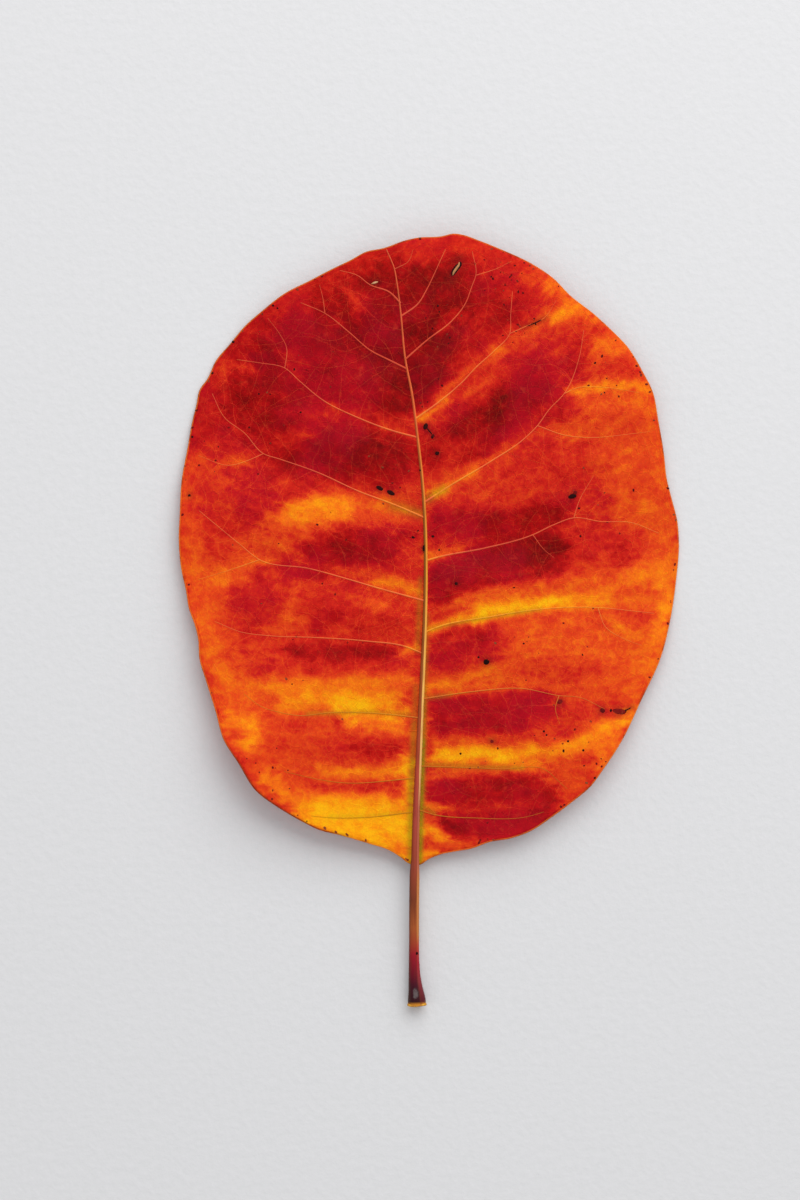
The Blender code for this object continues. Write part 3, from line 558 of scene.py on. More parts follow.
class Maker:
    """Adds nodes to a shader tree or a geometry tree."""

    def __init__(self, tree):
        self.tree = tree

    def wire(self, value):
        """A value that can be used in an expression."""
        return value if isinstance(value, Wire) else Wire(self, value)

    def add(self, kind, settings=None, sockets=None, output=0):
        """Adds a node, sets it, feeds its sockets, and gives one of its outputs."""
        node = self.tree.nodes.new(kind)
        for name, value in (settings or {}).items():
            if name == "stops":
                self.set_stops(node.color_ramp, value)
            else:
                setattr(node, name, value)
        for name, value in (sockets or {}).items():
            self.feed(node.inputs[name], value)
        return Wire(self, node.outputs[output]) if node.outputs else None

    def feed(self, socket, value):
        """Links a wire to a socket, or sets the socket's own value."""
        if isinstance(value, Wire) and isinstance(value.value, bpy.types.NodeSocket):
            self.tree.links.new(value.value, socket)
        else:
            socket.default_value = value.value if isinstance(value, Wire) else value

    def set_stops(self, ramp, stops):
        """Gives a ramp its stops: position and colour."""
        while len(ramp.elements) > 1:
            ramp.elements.remove(ramp.elements[-1])
        ramp.elements[0].position, ramp.elements[0].color = stops[0]
        for position, level in stops[1:]:
            ramp.elements.new(position).color = level

    def attribute(self, name):
        """A number painted on the piece's points."""
        return self.add("ShaderNodeAttribute", {"attribute_name": name}, output="Fac")

    def place(self):
        """The place on the piece, in millimetres."""
        here = self.add("ShaderNodeTexCoord", output="Object")
        return self.add("ShaderNodeMapping", {}, {"Vector": here, "Scale": (1 / MM, 1 / MM, 1 / MM)})

    def axis(self, place, name):
        """One coordinate of a place."""
        return self.add("ShaderNodeSeparateXYZ", {}, {0: place}, output=name)

    def speckle(self, place, scale, detail=3.0, roughness=0.55):
        """Noise from 0 to 1, with the given number of waves in a millimetre."""
        sockets = {"Vector": place, "Scale": scale, "Detail": detail, "Roughness": roughness}
        return self.add("ShaderNodeTexNoise", {}, sockets)

    def cells(self, place, scale):
        """The distance to the nearest edge of a net of cells."""
        sockets = {"Vector": place, "Scale": scale}
        return self.add("ShaderNodeTexVoronoi", {"feature": "DISTANCE_TO_EDGE"}, sockets)

    def blend(self, share, first, second, mode="MIX"):
        """Two colours mixed."""
        settings = {"data_type": "RGBA", "blend_type": mode}
        return self.add("ShaderNodeMix", settings, {0: share, 6: first, 7: second}, output=2)

    def ramp(self, value, stops):
        """A colour ramp from rows of a position and the red, green and blue levels there."""
        stops = [(position, colour(*levels)) for position, *levels in stops]
        return self.add("ShaderNodeValToRGB", {"stops": stops}, {"Fac": value})


def colour(red, green, blue):
    """A colour given as it looks on a screen, 0 to 255, as the shader takes it."""
    def linear(level):
        level /= 255.0
        return level / 12.92 if level <= 0.04045 else ((level + 0.055) / 1.055) ** 2.4
    return (linear(red), linear(green), linear(blue), 1.0)


# The blade's colours from crimson to yellow: warmth, red, green and blue
LEAF_STOPS = [
    (0.00, 96, 0, 2), (0.15, 138, 1, 4), (0.28, 173, 8, 10), (0.40, 202, 33, 19),
    (0.55, 224, 72, 20), (0.72, 240, 117, 14), (0.87, 247, 153, 8), (1.00, 250, 182, 10),
]
BLADE_GLOSS = 0.06
THROUGH_TINT = (1.0, 0.22, 0.03, 1.0)


class Finish:
    """A Principled material whose nodes are added by one function."""

    def __init__(self, name, roughness, specular):
        self.material = bpy.data.materials.new(name)
        self.material.use_nodes = True
        self.shader = self.material.node_tree.nodes["Principled BSDF"]
        self.shader.inputs["Roughness"].default_value = roughness
        self.shader.inputs["Specular IOR Level"].default_value = specular
        self.make = Maker(self.material.node_tree)

    def feed(self, **values):
        """Feeds the shader's sockets, named with underscores for spaces."""
        for name, value in values.items():
            self.make.feed(self.shader.inputs[name.replace("_", " ")], value)
        return self.material

    def let_through(self, share):
        """Lets a share of the light through, tinted as by red leaf tissue."""
        through = self.make.add("ShaderNodeBsdfTranslucent", {}, {"Color": THROUGH_TINT})
        own = Wire(self.make, self.shader.outputs["BSDF"])
        mixed = self.make.add("ShaderNodeMixShader", {}, {0: share, 1: own, 2: through})
        self.make.feed(self.make.tree.nodes["Material Output"].inputs["Surface"], mixed)

    def bump(self, height, distance, strength=1.0):
        """A normal from a height; the distance is in millimetres."""
        sockets = {"Height": height, "Distance": distance * MM, "Strength": strength}
        return self.make.add("ShaderNodeBump", {}, sockets)


def start_finish(name, roughness=0.5, specular=BLADE_GLOSS, through=0.0):
    """A new finish, its maker of nodes, and the place on the piece."""
    finish = Finish(name, roughness, specular)
    if through > 0.0:
        finish.let_through(through)
    return finish, finish.make, finish.make.place()


def leaf_colour(make, place, lift=0.0):
    """The blade's colour: the painted warmth, broken up by mottling, with green and dark marks."""
    drift = make.add("ShaderNodeTexNoise", {}, {"Vector": place, "Scale": 0.9, "Detail": 3.0}, output=1)
    moved = make.add("ShaderNodeVectorMath", {"operation": "MULTIPLY_ADD"},
                     {0: drift, 1: (1.2, 1.2, 0.0), 2: place})
    mottle = make.speckle(moved, 0.55, 5.0, 0.62) - 0.5
    fleck = make.speckle(moved, 2.2, 4.0, 0.6) - 0.5
    warmth = make.attribute("warmth") + mottle * 0.34 + fleck * 0.20 + lift
    base = make.ramp(warmth.clamp(), LEAF_STOPS)
    carmine = make.speckle(moved, 0.11, 3.0).rise(0.42, 0.66) * warmth.rise(0.5, 0.25)
    base = make.blend(carmine * 0.45, base, colour(186, 6, 38))
    pale = (make.speckle(moved, 1.3, 3.0) - 0.5).rise(0.06, 0.26)
    base = make.blend(pale * 0.16, base, colour(236, 84, 44))
    green = make.attribute("green")
    base = make.blend(green * 0.88, base, colour(112, 132, 12))
    return make.blend(make.attribute("shade"), base, colour(60, 8, 10))


def blade_finish():
    """The blade's upper side: painted colour, a pebbled grain, soft wax."""
    finish, make, place = start_finish("leaf upper side", through=0.22)
    small = make.cells(place, 3.1)
    fine = 1.0 - small.rise(0.0, 0.14)
    base = make.blend(fine * 0.10, leaf_colour(make, place), colour(70, 8, 6))
    roughness = 0.46 + make.speckle(place, 1.5) * 0.16
    height = fine * -0.4 + make.speckle(place, 5.0) * 0.4
    return finish.feed(Base_Color=base, Roughness=roughness, Normal=finish.bump(height, 0.03))


def underside_finish():
    """The blade's underside: the same colours, paler and duller, with a stronger net."""
    finish, make, place = start_finish("leaf underside", 0.62, 0.2, through=0.75)
    cell = make.cells(place, 1.15)
    net = 1.0 - cell.rise(0.0, 0.16)
    base = make.blend(0.55, leaf_colour(make, place), colour(196, 120, 92))
    base = make.blend(net * 0.35, base, colour(214, 150, 110))
    height = net + make.speckle(place, 5.0) * 0.4
    return finish.feed(Base_Color=base, Normal=finish.bump(height, 0.06))


def rib_finish():
    """The side veins: salmon on red, thin olive brown on yellow."""
    finish, make, place = start_finish("leaf veins")
    warmth = make.attribute("warmth")
    base = make.ramp(warmth, [
        (0.0, 184, 62, 40), (0.20, 192, 74, 50), (0.45, 212, 96, 50),
        (0.75, 220, 138, 36), (1.0, 186, 140, 20),
    ])
    base = make.blend(make.speckle(place, 1.6).rise(0.45, 0.8) * 0.5, base, colour(180, 52, 26))
    base = make.blend(make.attribute("along").rise(28.0, 12.0) * 0.75, base, colour(166, 104, 16))
    height = make.speckle(place, 6.0)
    return finish.feed(Base_Color=base, Normal=finish.bump(height, 0.02))


def net_finish(name, lift, glow):
    """Fine veins, lighter than the blade by the given amounts."""
    finish, make, place = start_finish(name)
    base = make.blend(glow, leaf_colour(make, place, lift), colour(228, 112, 58))
    return finish.feed(Base_Color=base)


def midrib_finish():
    """The midrib and stalk: their own red-brown and gold, with painted shade on the left, painted light on
    the right, and a near-black foot.
    """
    finish, make, place = start_finish("leaf midrib and stalk", 0.45, 0.12)
    along = make.attribute("along")
    across = make.attribute("across")
    streak = make.add("ShaderNodeMapping", {}, {"Vector": place, "Scale": (5.0, 0.35, 5.0)})
    streaks = make.speckle(streak, 1.0, 4.0)
    length = ((along + FOOT) / RIB_REACH).clamp()
    # The left strip: the rib's own red-brown, partly painted shade of its side turned from the light
    left_red_and_shaded = make.ramp(length, [
        (0.0, 206, 150, 40), (0.004, 190, 120, 34), (0.0055, 40, 8, 14),
        (0.029, 58, 8, 24), (0.046, 100, 6, 26),
        (0.070, 136, 16, 30), (0.082, 142, 50, 30), (0.105, 148, 74, 34),
        (0.14, 110, 50, 26), (0.174, 132, 56, 36), (0.24, 152, 60, 48),
        (0.30, 160, 62, 46), (0.42, 142, 70, 30), (0.60, 132, 80, 22),
        (0.70, 150, 80, 28), (0.78, 188, 82, 40), (1.0, 190, 78, 46),
    ])
    # The right strip: the rib's own gold, partly painted light and highlight on its lit side
    right_gold_and_lit = make.ramp(length, [
        (0.0, 206, 150, 40), (0.004, 190, 120, 34), (0.0055, 70, 16, 26),
        (0.035, 122, 40, 46), (0.060, 150, 28, 38),
        (0.080, 164, 56, 38), (0.095, 176, 106, 52), (0.165, 178, 110, 58),
        (0.19, 166, 84, 66), (0.26, 172, 94, 72), (0.30, 214, 164, 100),
        (0.42, 220, 168, 86), (0.55, 208, 142, 44),
        (0.68, 202, 118, 42), (0.78, 210, 98, 50), (1.0, 204, 86, 52),
    ])
    edge = across - 0.45 + along.rise(-2.0, 30.0) * 0.4
    share = (edge + (streaks - 0.5) * 0.5).rise(-0.1, 0.1)
    base = make.blend(share, left_red_and_shaded, right_gold_and_lit)
    # A dark line along the groove between the strips: painted shade in the groove
    line = edge.math("ABSOLUTE").rise(0.0, 0.14)
    base = make.blend((1.0 - line) * 0.45, base, colour(84, 34, 14))
    base = make.blend(streaks.rise(0.5, 0.75) * 0.4, base, colour(92, 36, 18))
    # Olive brown down the rib's far left flank: painted shade, the shadow beside the raised rib
    base = make.blend(across.rise(-0.55, -0.95) * 0.4, base, colour(70, 40, 16))
    x = (make.axis(place, "X") - HOLLOW_PLACE[0]) / HOLLOW_REACH[0]
    y = (make.axis(place, "Y") - HOLLOW_PLACE[1]) / HOLLOW_REACH[1]
    hollow = 1.0 - (x * x + y * y + (make.speckle(place, 2.6) - 0.5) * 3.0).rise(0.1, 1.3)
    base = make.blend(hollow * 0.45, base, colour(116, 110, 108))
    height = streaks - hollow * 2.0 + make.speckle(place, 4.0) * 0.3
    return finish.feed(Base_Color=base, Normal=finish.bump(height, 0.06))


def margin_finish():
    """The leaf's thickened edge: a painted golden edge glow, dark stretches, painted shade at the lower
    left.
    """
    finish, make, place = start_finish("leaf margin", through=0.3)
    # Half golden all round: painted light, the bright glow along the leaf's edge
    base = make.blend(0.5, leaf_colour(make, place), colour(236, 146, 48))
    base = make.blend(make.speckle(place, 0.5, 4.0).rise(0.5, 0.64) * 0.6, base, colour(120, 22, 8))
    # Darker towards the lower left, the side turned from the light: painted shade
    painted_shade_lower_left = make.axis(place, "Y").rise(-10.0, -18.0) * make.axis(place, "X").rise(-6.0, -14.0)
    base = make.blend(painted_shade_lower_left * 0.8, base, colour(96, 26, 8))
    return finish.feed(Base_Color=base)


def scar_finish():
    """Dead tissue of spots and scars: black, brown or pale by its tone."""
    finish, make, place = start_finish("leaf spots and scars", 0.7, 0.04)
    patchy = make.speckle(place, 4.0)
    tone = make.attribute("tone") + (patchy - 0.5) * 0.3
    base = make.ramp(tone.clamp(), [
        (0.0, 24, 8, 8), (0.2, 50, 12, 12), (0.42, 108, 16, 16),
        (0.62, 130, 74, 44), (0.8, 176, 128, 84), (1.0, 220, 180, 146),
    ])
    return finish.feed(Base_Color=base, Normal=finish.bump(patchy, 0.04))


def cut_finish():
    """The golden rim of the stalk's cut end."""
    finish, make, place = start_finish("leaf stalk cut end", 0.6, 0.2)
    patchy = make.speckle(place, 3.0)
    base = make.blend(patchy.rise(0.3, 0.7), colour(214, 158, 44), colour(150, 90, 40))
    return finish.feed(Base_Color=base, Normal=finish.bump(patchy, 0.05))


def paper_finish():
    """Plain pale paper, with a faint tooth."""
    finish, make, place = start_finish("floor", 0.85, 0.1)
    tooth = make.speckle(place, 1.2, 4.0)
    base = make.blend(tooth, colour(197, 197, 197), colour(204, 203, 204))
    return finish.feed(Base_Color=base, Normal=finish.bump(tooth, 0.06))


def new_object(name, mesh):
    """An object at the origin, in the scene's collection."""
    piece = bpy.data.objects.new(name, mesh)
    bpy.context.scene.collection.objects.link(piece)
    return piece


def give_numbers(mesh, numbers):
    """Stores numbers on a mesh's points, by name."""
    for name, values in numbers.items():
        layer = mesh.attributes.new(name, "FLOAT", "POINT")
        layer.data.foreach_set("value", np.asarray(values, dtype=np.float32))


def to_frame(places, heights):
    """Drawn places and heights, in millimetres, as points of the frame, in metres."""
    return np.column_stack([places + np.array(BLADE_BASE), heights]) * MM


def dress(piece):
    """Puts a finished piece on the leaf's body, in place of the solid leaf."""
    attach(piece, BODY)
    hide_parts(NODE)


def painted(places):
    """The painted numbers that a material needs at each place."""
    return {
        "warmth": paint_warmth(places),
        "green": paint_lines(places, GREEN_LINES),
        "shade": paint_shade(places),
    }


def paint_shade(places):
    """Soft dark halos round the larger spots and scars."""
    cover = np.zeros(len(places))
    for x, y, radius, stretch, turn, tone in SPOTS:
        if radius > 0.15:
            gap = np.linalg.norm(places - np.array((x, y)), axis=1)
            cover = np.maximum(cover, 0.5 * np.exp(-(gap / (radius * 1.5 + 0.15)) ** 2))
    for line, width, tone in SCARS:
        gap = distance_to_line(places, line)
        cover = np.maximum(cover, 0.45 * np.exp(-(gap / (width + 0.25)) ** 2))
    return cover


class GeometryTree:
    """A Geometry Nodes tree that is run on a drawn mesh and gives a plain mesh."""

    def __init__(self, name, numbers):
        self.tree = bpy.data.node_groups.new(name, "GeometryNodeTree")
        self.make = Maker(self.tree)
        face = self.tree.interface
        face.new_socket("Geometry", in_out="INPUT", socket_type="NodeSocketGeometry")
        self.identifiers = {}
        for label, kind in numbers.items():
            socket = face.new_socket(label, in_out="INPUT", socket_type=kind)
            self.identifiers[label] = socket.identifier
        face.new_socket("Geometry", in_out="OUTPUT", socket_type="NodeSocketGeometry")
        self.inputs = self.tree.nodes.new("NodeGroupInput")

    def given(self, label):
        """One of the tree's inputs."""
        return Wire(self.make, self.inputs.outputs[label])

    def number(self, name):
        """A named number of the points."""
        return self.make.add("GeometryNodeInputNamedAttribute", {"data_type": "FLOAT"}, {"Name": name})

    def circle(self, sides):
        """The round section of a tube."""
        return self.make.add("GeometryNodeCurvePrimitiveCircle", {"mode": "RADIUS"},
                             {"Resolution": sides, "Radius": 1.0})

    def tube(self, line, section, width):
        """A line swept with a section of the given half width."""
        sockets = {"Curve": line, "Profile Curve": section, "Scale": width, "Fill Caps": True}
        return self.make.add("GeometryNodeCurveToMesh", {}, sockets)

    def store(self, geometry, name, value):
        """The geometry with a number stored on its points."""
        return self.make.add("GeometryNodeStoreNamedAttribute", {"data_type": "FLOAT", "domain": "POINT"},
                             {"Geometry": geometry, "Name": name, "Value": value})

    def end(self, geometry):
        """Shades the result smooth, makes it real, gives it its material, and ends the tree."""
        smooth = self.make.add("GeometryNodeSetShadeSmooth", {}, {"Geometry": geometry})
        real = self.make.add("GeometryNodeRealizeInstances", {}, {"Geometry": smooth})
        done = self.make.add("GeometryNodeSetMaterial", {},
                             {"Geometry": real, "Material": self.given("Material")})
        output = self.tree.nodes.new("NodeGroupOutput")
        self.make.feed(output.inputs[0], done)

    def run(self, name, mesh, values):
        """Runs the tree on a mesh with these input values, and gives the finished piece."""
        source = new_object(name + " lines", mesh)
        modifier = source.modifiers.new(name, "NODES")
        modifier.node_group = self.tree
        for label, value in values.items():
            modifier[self.identifiers[label]] = value
        graph = bpy.context.evaluated_depsgraph_get()
        made = bpy.data.meshes.new_from_object(source.evaluated_get(graph))
        source.modifiers.remove(modifier)
        bpy.data.objects.remove(source)
        made.name = name
        return new_object(name, made)


def sweep_tree():
    """Sweeps a round section along lines, with its own width and height at every point."""
    inputs = {"Sides": "NodeSocketInt", "Material": "NodeSocketMaterial"}
    tree = GeometryTree("leaf sweep", inputs)
    make = tree.make
    line = make.add("GeometryNodeMeshToCurve", {}, {"Mesh": tree.given("Geometry")})
    line = make.add("GeometryNodeSetCurveNormal", {}, {"Curve": line})
    line.value.node.mode = "Z_UP"
    here = make.add("GeometryNodeInputPosition")
    section = tree.store(tree.circle(tree.given("Sides")), "across", make.axis(here, "X"))
    tube = tree.tube(line, section, tree.number("width"))
    raised = (make.axis(here, "Z") - tree.number("centre")) * (tree.number("tall") - 1.0)
    shift = make.add("ShaderNodeCombineXYZ", {}, {"Z": raised})
    tree.end(make.add("GeometryNodeSetPosition", {}, {"Geometry": tube, "Offset": shift}))
    return tree


def line_mesh(name, lines, closed):
    """A mesh of separate lines, each given as points and their numbers."""
    points = []
    edges = []
    numbers = {}
    for places, values in lines:
        first = len(points)
        points += [tuple(place) for place in places]
        edges += [(first + i, first + i + 1) for i in range(len(places) - 1)]
        if closed:
            edges.append((len(points) - 1, first))
        for key, row in values.items():
            numbers.setdefault(key, []).extend(row)
    mesh = bpy.data.meshes.new(name)
    mesh.from_pydata(points, edges, [])
    give_numbers(mesh, numbers)
    return mesh


def rib_line(form, line, shape, thickness):
    """One rib's points in the frame, with its section's width and height at each."""
    share = np.linspace(0.0, 1.0, len(line))
    def taper(ends):
        return ends[0] + (ends[1] - ends[0]) * share ** 0.8
    bottom = form.underside(line, thickness)
    top = bottom + thickness + taper(shape["above"])
    low = np.clip(bottom - taper(shape["below"]), 0.02, None)
    width = taper(shape["width"])
    centre = (top + low) / 2
    numbers = {"width": width * MM, "tall": (top - low) / 2 / width, "centre": centre * MM}
    numbers["along"] = line[:, 1]
    return to_frame(line, centre), numbers | painted(line)


def sweep(name, lines, finish, sides, closed=False):
    """Sweeps lines to one finished piece of the leaf."""
    mesh = line_mesh(name + " paths", lines, closed)
    dress(sweep_tree().run(name, mesh, {"Sides": sides, "Material": finish}))


def slimmed(shape, line):
    """A vein's shape, slimmer for the lowest veins of the blade."""
    share = np.interp(line[0][1], (8.0, 30.0), (0.55, 1.0))
    return {**shape, "width": tuple(width * share for width in shape["width"])}


def ring_mesh(name, centre, reach, thick):
    """A slightly uneven ring, upright across the stalk's end, in millimetres of the drawing."""
    turns, sides = 40, 10
    places = []
    for i in range(turns):
        angle = 2 * math.pi * i / turns
        out = 1.0 + 0.05 * math.sin(3 * angle) + 0.03 * math.sin(7 * angle + 1.0)
        sway = 0.05 * math.sin(2 * angle + 0.5)
        for j in range(sides):
            bend = 2 * math.pi * j / sides
            swell = math.cos(bend) * thick
            places.append((
                centre[0] + (reach[0] * out + swell) * math.cos(angle),
                centre[1] + sway + thick * 1.3 * math.sin(bend),
                centre[2] + (reach[1] + swell) * math.sin(angle),
            ))
    faces = [
        (i * sides + j, i * sides + (j + 1) % sides,
         (i + 1) % turns * sides + (j + 1) % sides, (i + 1) % turns * sides + j)
        for i in range(turns) for j in range(sides)
    ]
    mesh = bpy.data.meshes.new(name)
    places = np.array(places)
    mesh.from_pydata(to_frame(places[:, :2], places[:, 2]).tolist(), [], faces)
    mesh.polygons.foreach_set("use_smooth", [True] * len(faces))
    return mesh


def inset(outline, distance):
    """A closed line moved inwards by a distance."""
    ahead = np.roll(outline, -1, axis=0) - np.roll(outline, 1, axis=0)
    side = np.column_stack([-ahead[:, 1], ahead[:, 0]])
    return outline + side / np.linalg.norm(side, axis=1)[:, None] * distance


def staggered_places(outline, spacing, row_height, shake):
    """Places inside the outline, in rows that are staggered by half, each shaken both ways."""
    low = outline.min(axis=0)
    high = outline.max(axis=0)
    places = np.array([
        (x + spacing / 2 * (row % 2) + shake(), y + shake())
        for row, y in enumerate(np.arange(low[1], high[1], row_height))
        for x in np.arange(low[0], high[0], spacing)
    ])
    return places[is_inside(places, outline)]


def ladder_lines(form, seed, gap):
    """Fine veins that leave the ribs at steep angles and wander until they meet another rib."""
    draw = random.Random(seed)
    rib_points = np.vstack(form.ribs)
    lines = []
    for rib in form.ribs:
        reach = RIB_STEP * len(rib)
        travelled = gap * draw.uniform(0.3, 0.8)
        while travelled < reach - gap * 0.3:
            index = min(int(travelled / RIB_STEP), len(rib) - 2)
            ahead = rib[index + 1] - rib[index]
            for side in (-1, 1):
                heading = math.atan2(ahead[1], ahead[0]) + side * math.radians(draw.uniform(48, 82))
                line = [rib[index]]
                for step in range(26):
                    here = line[-1] + LADDER_STEP * np.array((math.cos(heading), math.sin(heading)))
                    line.append(here)
                    heading += draw.gauss(0.0, 0.17)
                    near = np.linalg.norm(rib_points - here, axis=1).min()
                    if step > 2 and near < LADDER_STEP * 0.7:
                        break
                lines.append(np.array(line))
            travelled += gap * draw.uniform(0.6, 1.4)
    places = np.vstack(lines)
    inside = is_inside(places, form.outline) & (form.rim_distance(places) > NET_RIM)
    cut = []
    for line, kept in zip(lines, np.split(inside, np.cumsum([len(line) for line in lines])[:-1])):
        whole = line if kept.all() else line[:int(np.argmin(kept))]
        if len(whole) > 3:
            cut.append(whole)
    return cut


def net_tree():
    """Turns a net of triangles into its cells' edges, lays them on the blade and sweeps them."""
    inputs = {"Blade": "NodeSocketObject", "Width": "NodeSocketFloat", "Material": "NodeSocketMaterial"}
    tree = GeometryTree("leaf vein net", inputs)
    make = tree.make
    cells = make.add("GeometryNodeDualMesh", {}, {"Mesh": tree.given("Geometry")})
    blade = make.add("GeometryNodeObjectInfo", {}, {"Object": tree.given("Blade")}, output="Geometry")
    here = make.add("GeometryNodeInputPosition")
    above = make.add("ShaderNodeVectorMath", {"operation": "ADD"}, {0: here, 1: (0.0, 0.0, 0.01)})
    for name in PAINTED:
        cast = make.tree.nodes.new("GeometryNodeRaycast")
        cast.data_type = "FLOAT"
        make.feed(cast.inputs["Target Geometry"], blade)
        make.feed(cast.inputs["Source Position"], above)
        make.feed(cast.inputs["Ray Direction"], (0.0, 0.0, -1.0))
        make.feed(cast.inputs["Ray Length"], 0.02)
        make.feed(cast.inputs["Attribute"], tree.number(name))
        cells = tree.store(cells, name, Wire(make, cast.outputs["Attribute"]))
    place = Wire(make, cast.outputs["Hit Position"])
    cells = make.add("GeometryNodeSetPosition", {}, {
        "Geometry": cells, "Selection": Wire(make, cast.outputs["Is Hit"]), "Position": place,
    })
    lines = make.add("GeometryNodeMeshToCurve", {}, {"Mesh": cells})
    tree.end(tree.tube(lines, tree.circle(3), tree.given("Width")))
    return tree


def spot_tree():
    """Sets a low dome on every point, sized, stretched and turned by the point's numbers."""
    tree = GeometryTree("leaf spots", {"Flatness": "NodeSocketFloat", "Material": "NodeSocketMaterial"})
    make = tree.make
    dome = make.add("GeometryNodeMeshUVSphere", {}, {"Segments": 10, "Rings": 6, "Radius": 1.0})
    size = tree.number("size")
    scale = make.add("ShaderNodeCombineXYZ", {}, {
        "X": size * tree.number("stretch"), "Y": size, "Z": size * tree.given("Flatness"),
    })
    turn = make.add("ShaderNodeCombineXYZ", {}, {"Z": tree.number("turn")})
    points = make.add("GeometryNodeMeshToPoints", {}, {"Mesh": tree.given("Geometry")})
    spots = make.add("GeometryNodeInstanceOnPoints", {}, {
        "Points": points, "Instance": dome, "Scale": scale, "Rotation": turn,
    })
    tree.end(make.add("GeometryNodeRealizeInstances", {}, {"Geometry": spots}))
    return tree


def scattered_spots(form, seed):
    """Tiny spots, thick in some patches and along the margin: the same rows as the placed spots."""
    draw = random.Random(seed)
    rows = []
    for x, y, reach, count in SPOT_PATCHES:
        for _ in range(count):
            angle = draw.uniform(0, 2 * math.pi)
            out = reach * draw.uniform(0, 1) ** 0.6
            place = (x + out * math.cos(angle), y + out * math.sin(angle))
            rows.append((*place, draw.uniform(0.05, 0.13), draw.uniform(1.0, 1.6), draw.uniform(0, 180),
                         draw.uniform(0.15, 0.55)))
    rim = inset(form.outline, 0.3)
    for _ in range(MARGIN_SPOTS):
        place = rim[draw.randrange(len(rim))] + np.array((draw.gauss(0, 0.12), draw.gauss(0, 0.12)))
        rows.append((*place, draw.uniform(0.06, 0.14), draw.uniform(1.0, 1.8), draw.uniform(0, 180),
                     draw.uniform(0.3, 0.55)))
    places = np.array([row[:2] for row in rows])
    kept = is_inside(places, form.outline) & (form.rim_distance(places) > 0.12)
    return [row for row, keep in zip(rows, kept) if keep]


# The stage, in metres
FLOOR_SIZE = 2.0
FLOOR_DROP = 0.00003
LAMP_PLACE = (0.17, 0.42, 0.40)
LAMP_SIZE = (0.75, 0.55)
CAMERA_PLACE = (-3.31 * MM, 2.29 * MM, 375.0 * MM)
LENS = 100.0
SENSOR_WIDTH = 36.0


class LeafSettings(bpy.types.PropertyGroup):
    """Sizes and looks that can be changed before the leaf is built."""

    thickness: FloatProperty(name="Thickness", description="Thickness of the blade, in millimetres",
                             default=0.30, min=0.1, max=0.6)
    spacing: FloatProperty(name="Point spacing", default=0.31, min=0.2, max=1.0,
                           description="Spacing of the blade's points, in millimetres")
    net_cell: FloatProperty(name="Net cell", description="Size of a cell of the vein net, in millimetres",
                            default=1.25, min=0.6, max=3.0)
    net_width: FloatProperty(name="Net width", description="Half width of the finest veins, in millimetres",
                             default=0.035, min=0.01, max=0.2)
    ladder_gap: FloatProperty(name="Ladder gap", default=2.3, min=0.8, max=8.0,
                              description="Gap between the veins that join side veins, in millimetres")
    seed: IntProperty(name="Seed", description="Seed of the vein net", default=4, min=0)


class StageSettings(bpy.types.PropertyGroup):
    """The light and the paper."""

    light_power: FloatProperty(name="Light", description="Power of the soft light", default=4.0,
                               min=0.0, unit="POWER")
    sky: FloatProperty(name="Sky", description="Strength of the even light from all round",
                       default=0.78, min=0.0)
    sky_colour: FloatVectorProperty(name="Sky colour", description="Colour of the even light",
                                    subtype="COLOR", default=(0.97, 0.98, 1.0), min=0.0, max=1.0)


class LEAF_OT_blade(bpy.types.Operator):
    """Builds the blade: a thin waved sheet, closed at its rim"""

    bl_idname = "leaf.blade"
    bl_label = "Blade"

    def execute(self, context):
        settings = context.scene.leaf
        form = Form()
        spacing = settings.spacing
        outline = inset(smooth_curve(OUTLINE, spacing * 1.1, closed=True), MARGIN_WIDTH * 0.6)
        places = staggered_places(outline, spacing, spacing * math.sqrt(3) / 2, lambda: 0.0)
        places = places[form.rim_distance(places) > spacing * 0.6 + MARGIN_WIDTH * 0.6]
        corners = [Vector(place) for place in np.vstack([outline, places])]
        net = delaunay_2d_cdt(corners, [], [list(range(len(outline)))], 1, 0.001)
        flat = np.array([tuple(place) for place in net[0]])
        count = len(flat)
        bottom = form.underside(flat, settings.thickness)
        upper = to_frame(flat, bottom + settings.thickness)
        lower = to_frame(flat, bottom)
        faces = [tuple(face) for face in net[2]]
        rim = {}
        for face in faces:
            for start, end in zip(face, face[1:] + face[:1]):
                if rim.pop((end, start), None) is None:
                    rim[(start, end)] = True
        under = [tuple(count + i for i in reversed(face)) for face in faces]
        walls = [(start, start + count, end + count, end) for start, end in rim]
        mesh = bpy.data.meshes.new("leaf_blade")
        mesh.from_pydata(np.vstack([upper, lower]).tolist(), [], faces + under + walls)
        numbers = painted(flat)
        give_numbers(mesh, {name: np.tile(values, 2) for name, values in numbers.items()})
        mesh.materials.append(blade_finish())
        mesh.materials.append(underside_finish())
        sides = np.zeros(len(mesh.polygons), dtype=np.int32)
        sides[len(faces):len(faces) * 2] = 1
        mesh.polygons.foreach_set("material_index", sides)
        mesh.shade_smooth()
        dress(new_object("leaf_blade", mesh))
        return {"FINISHED"}


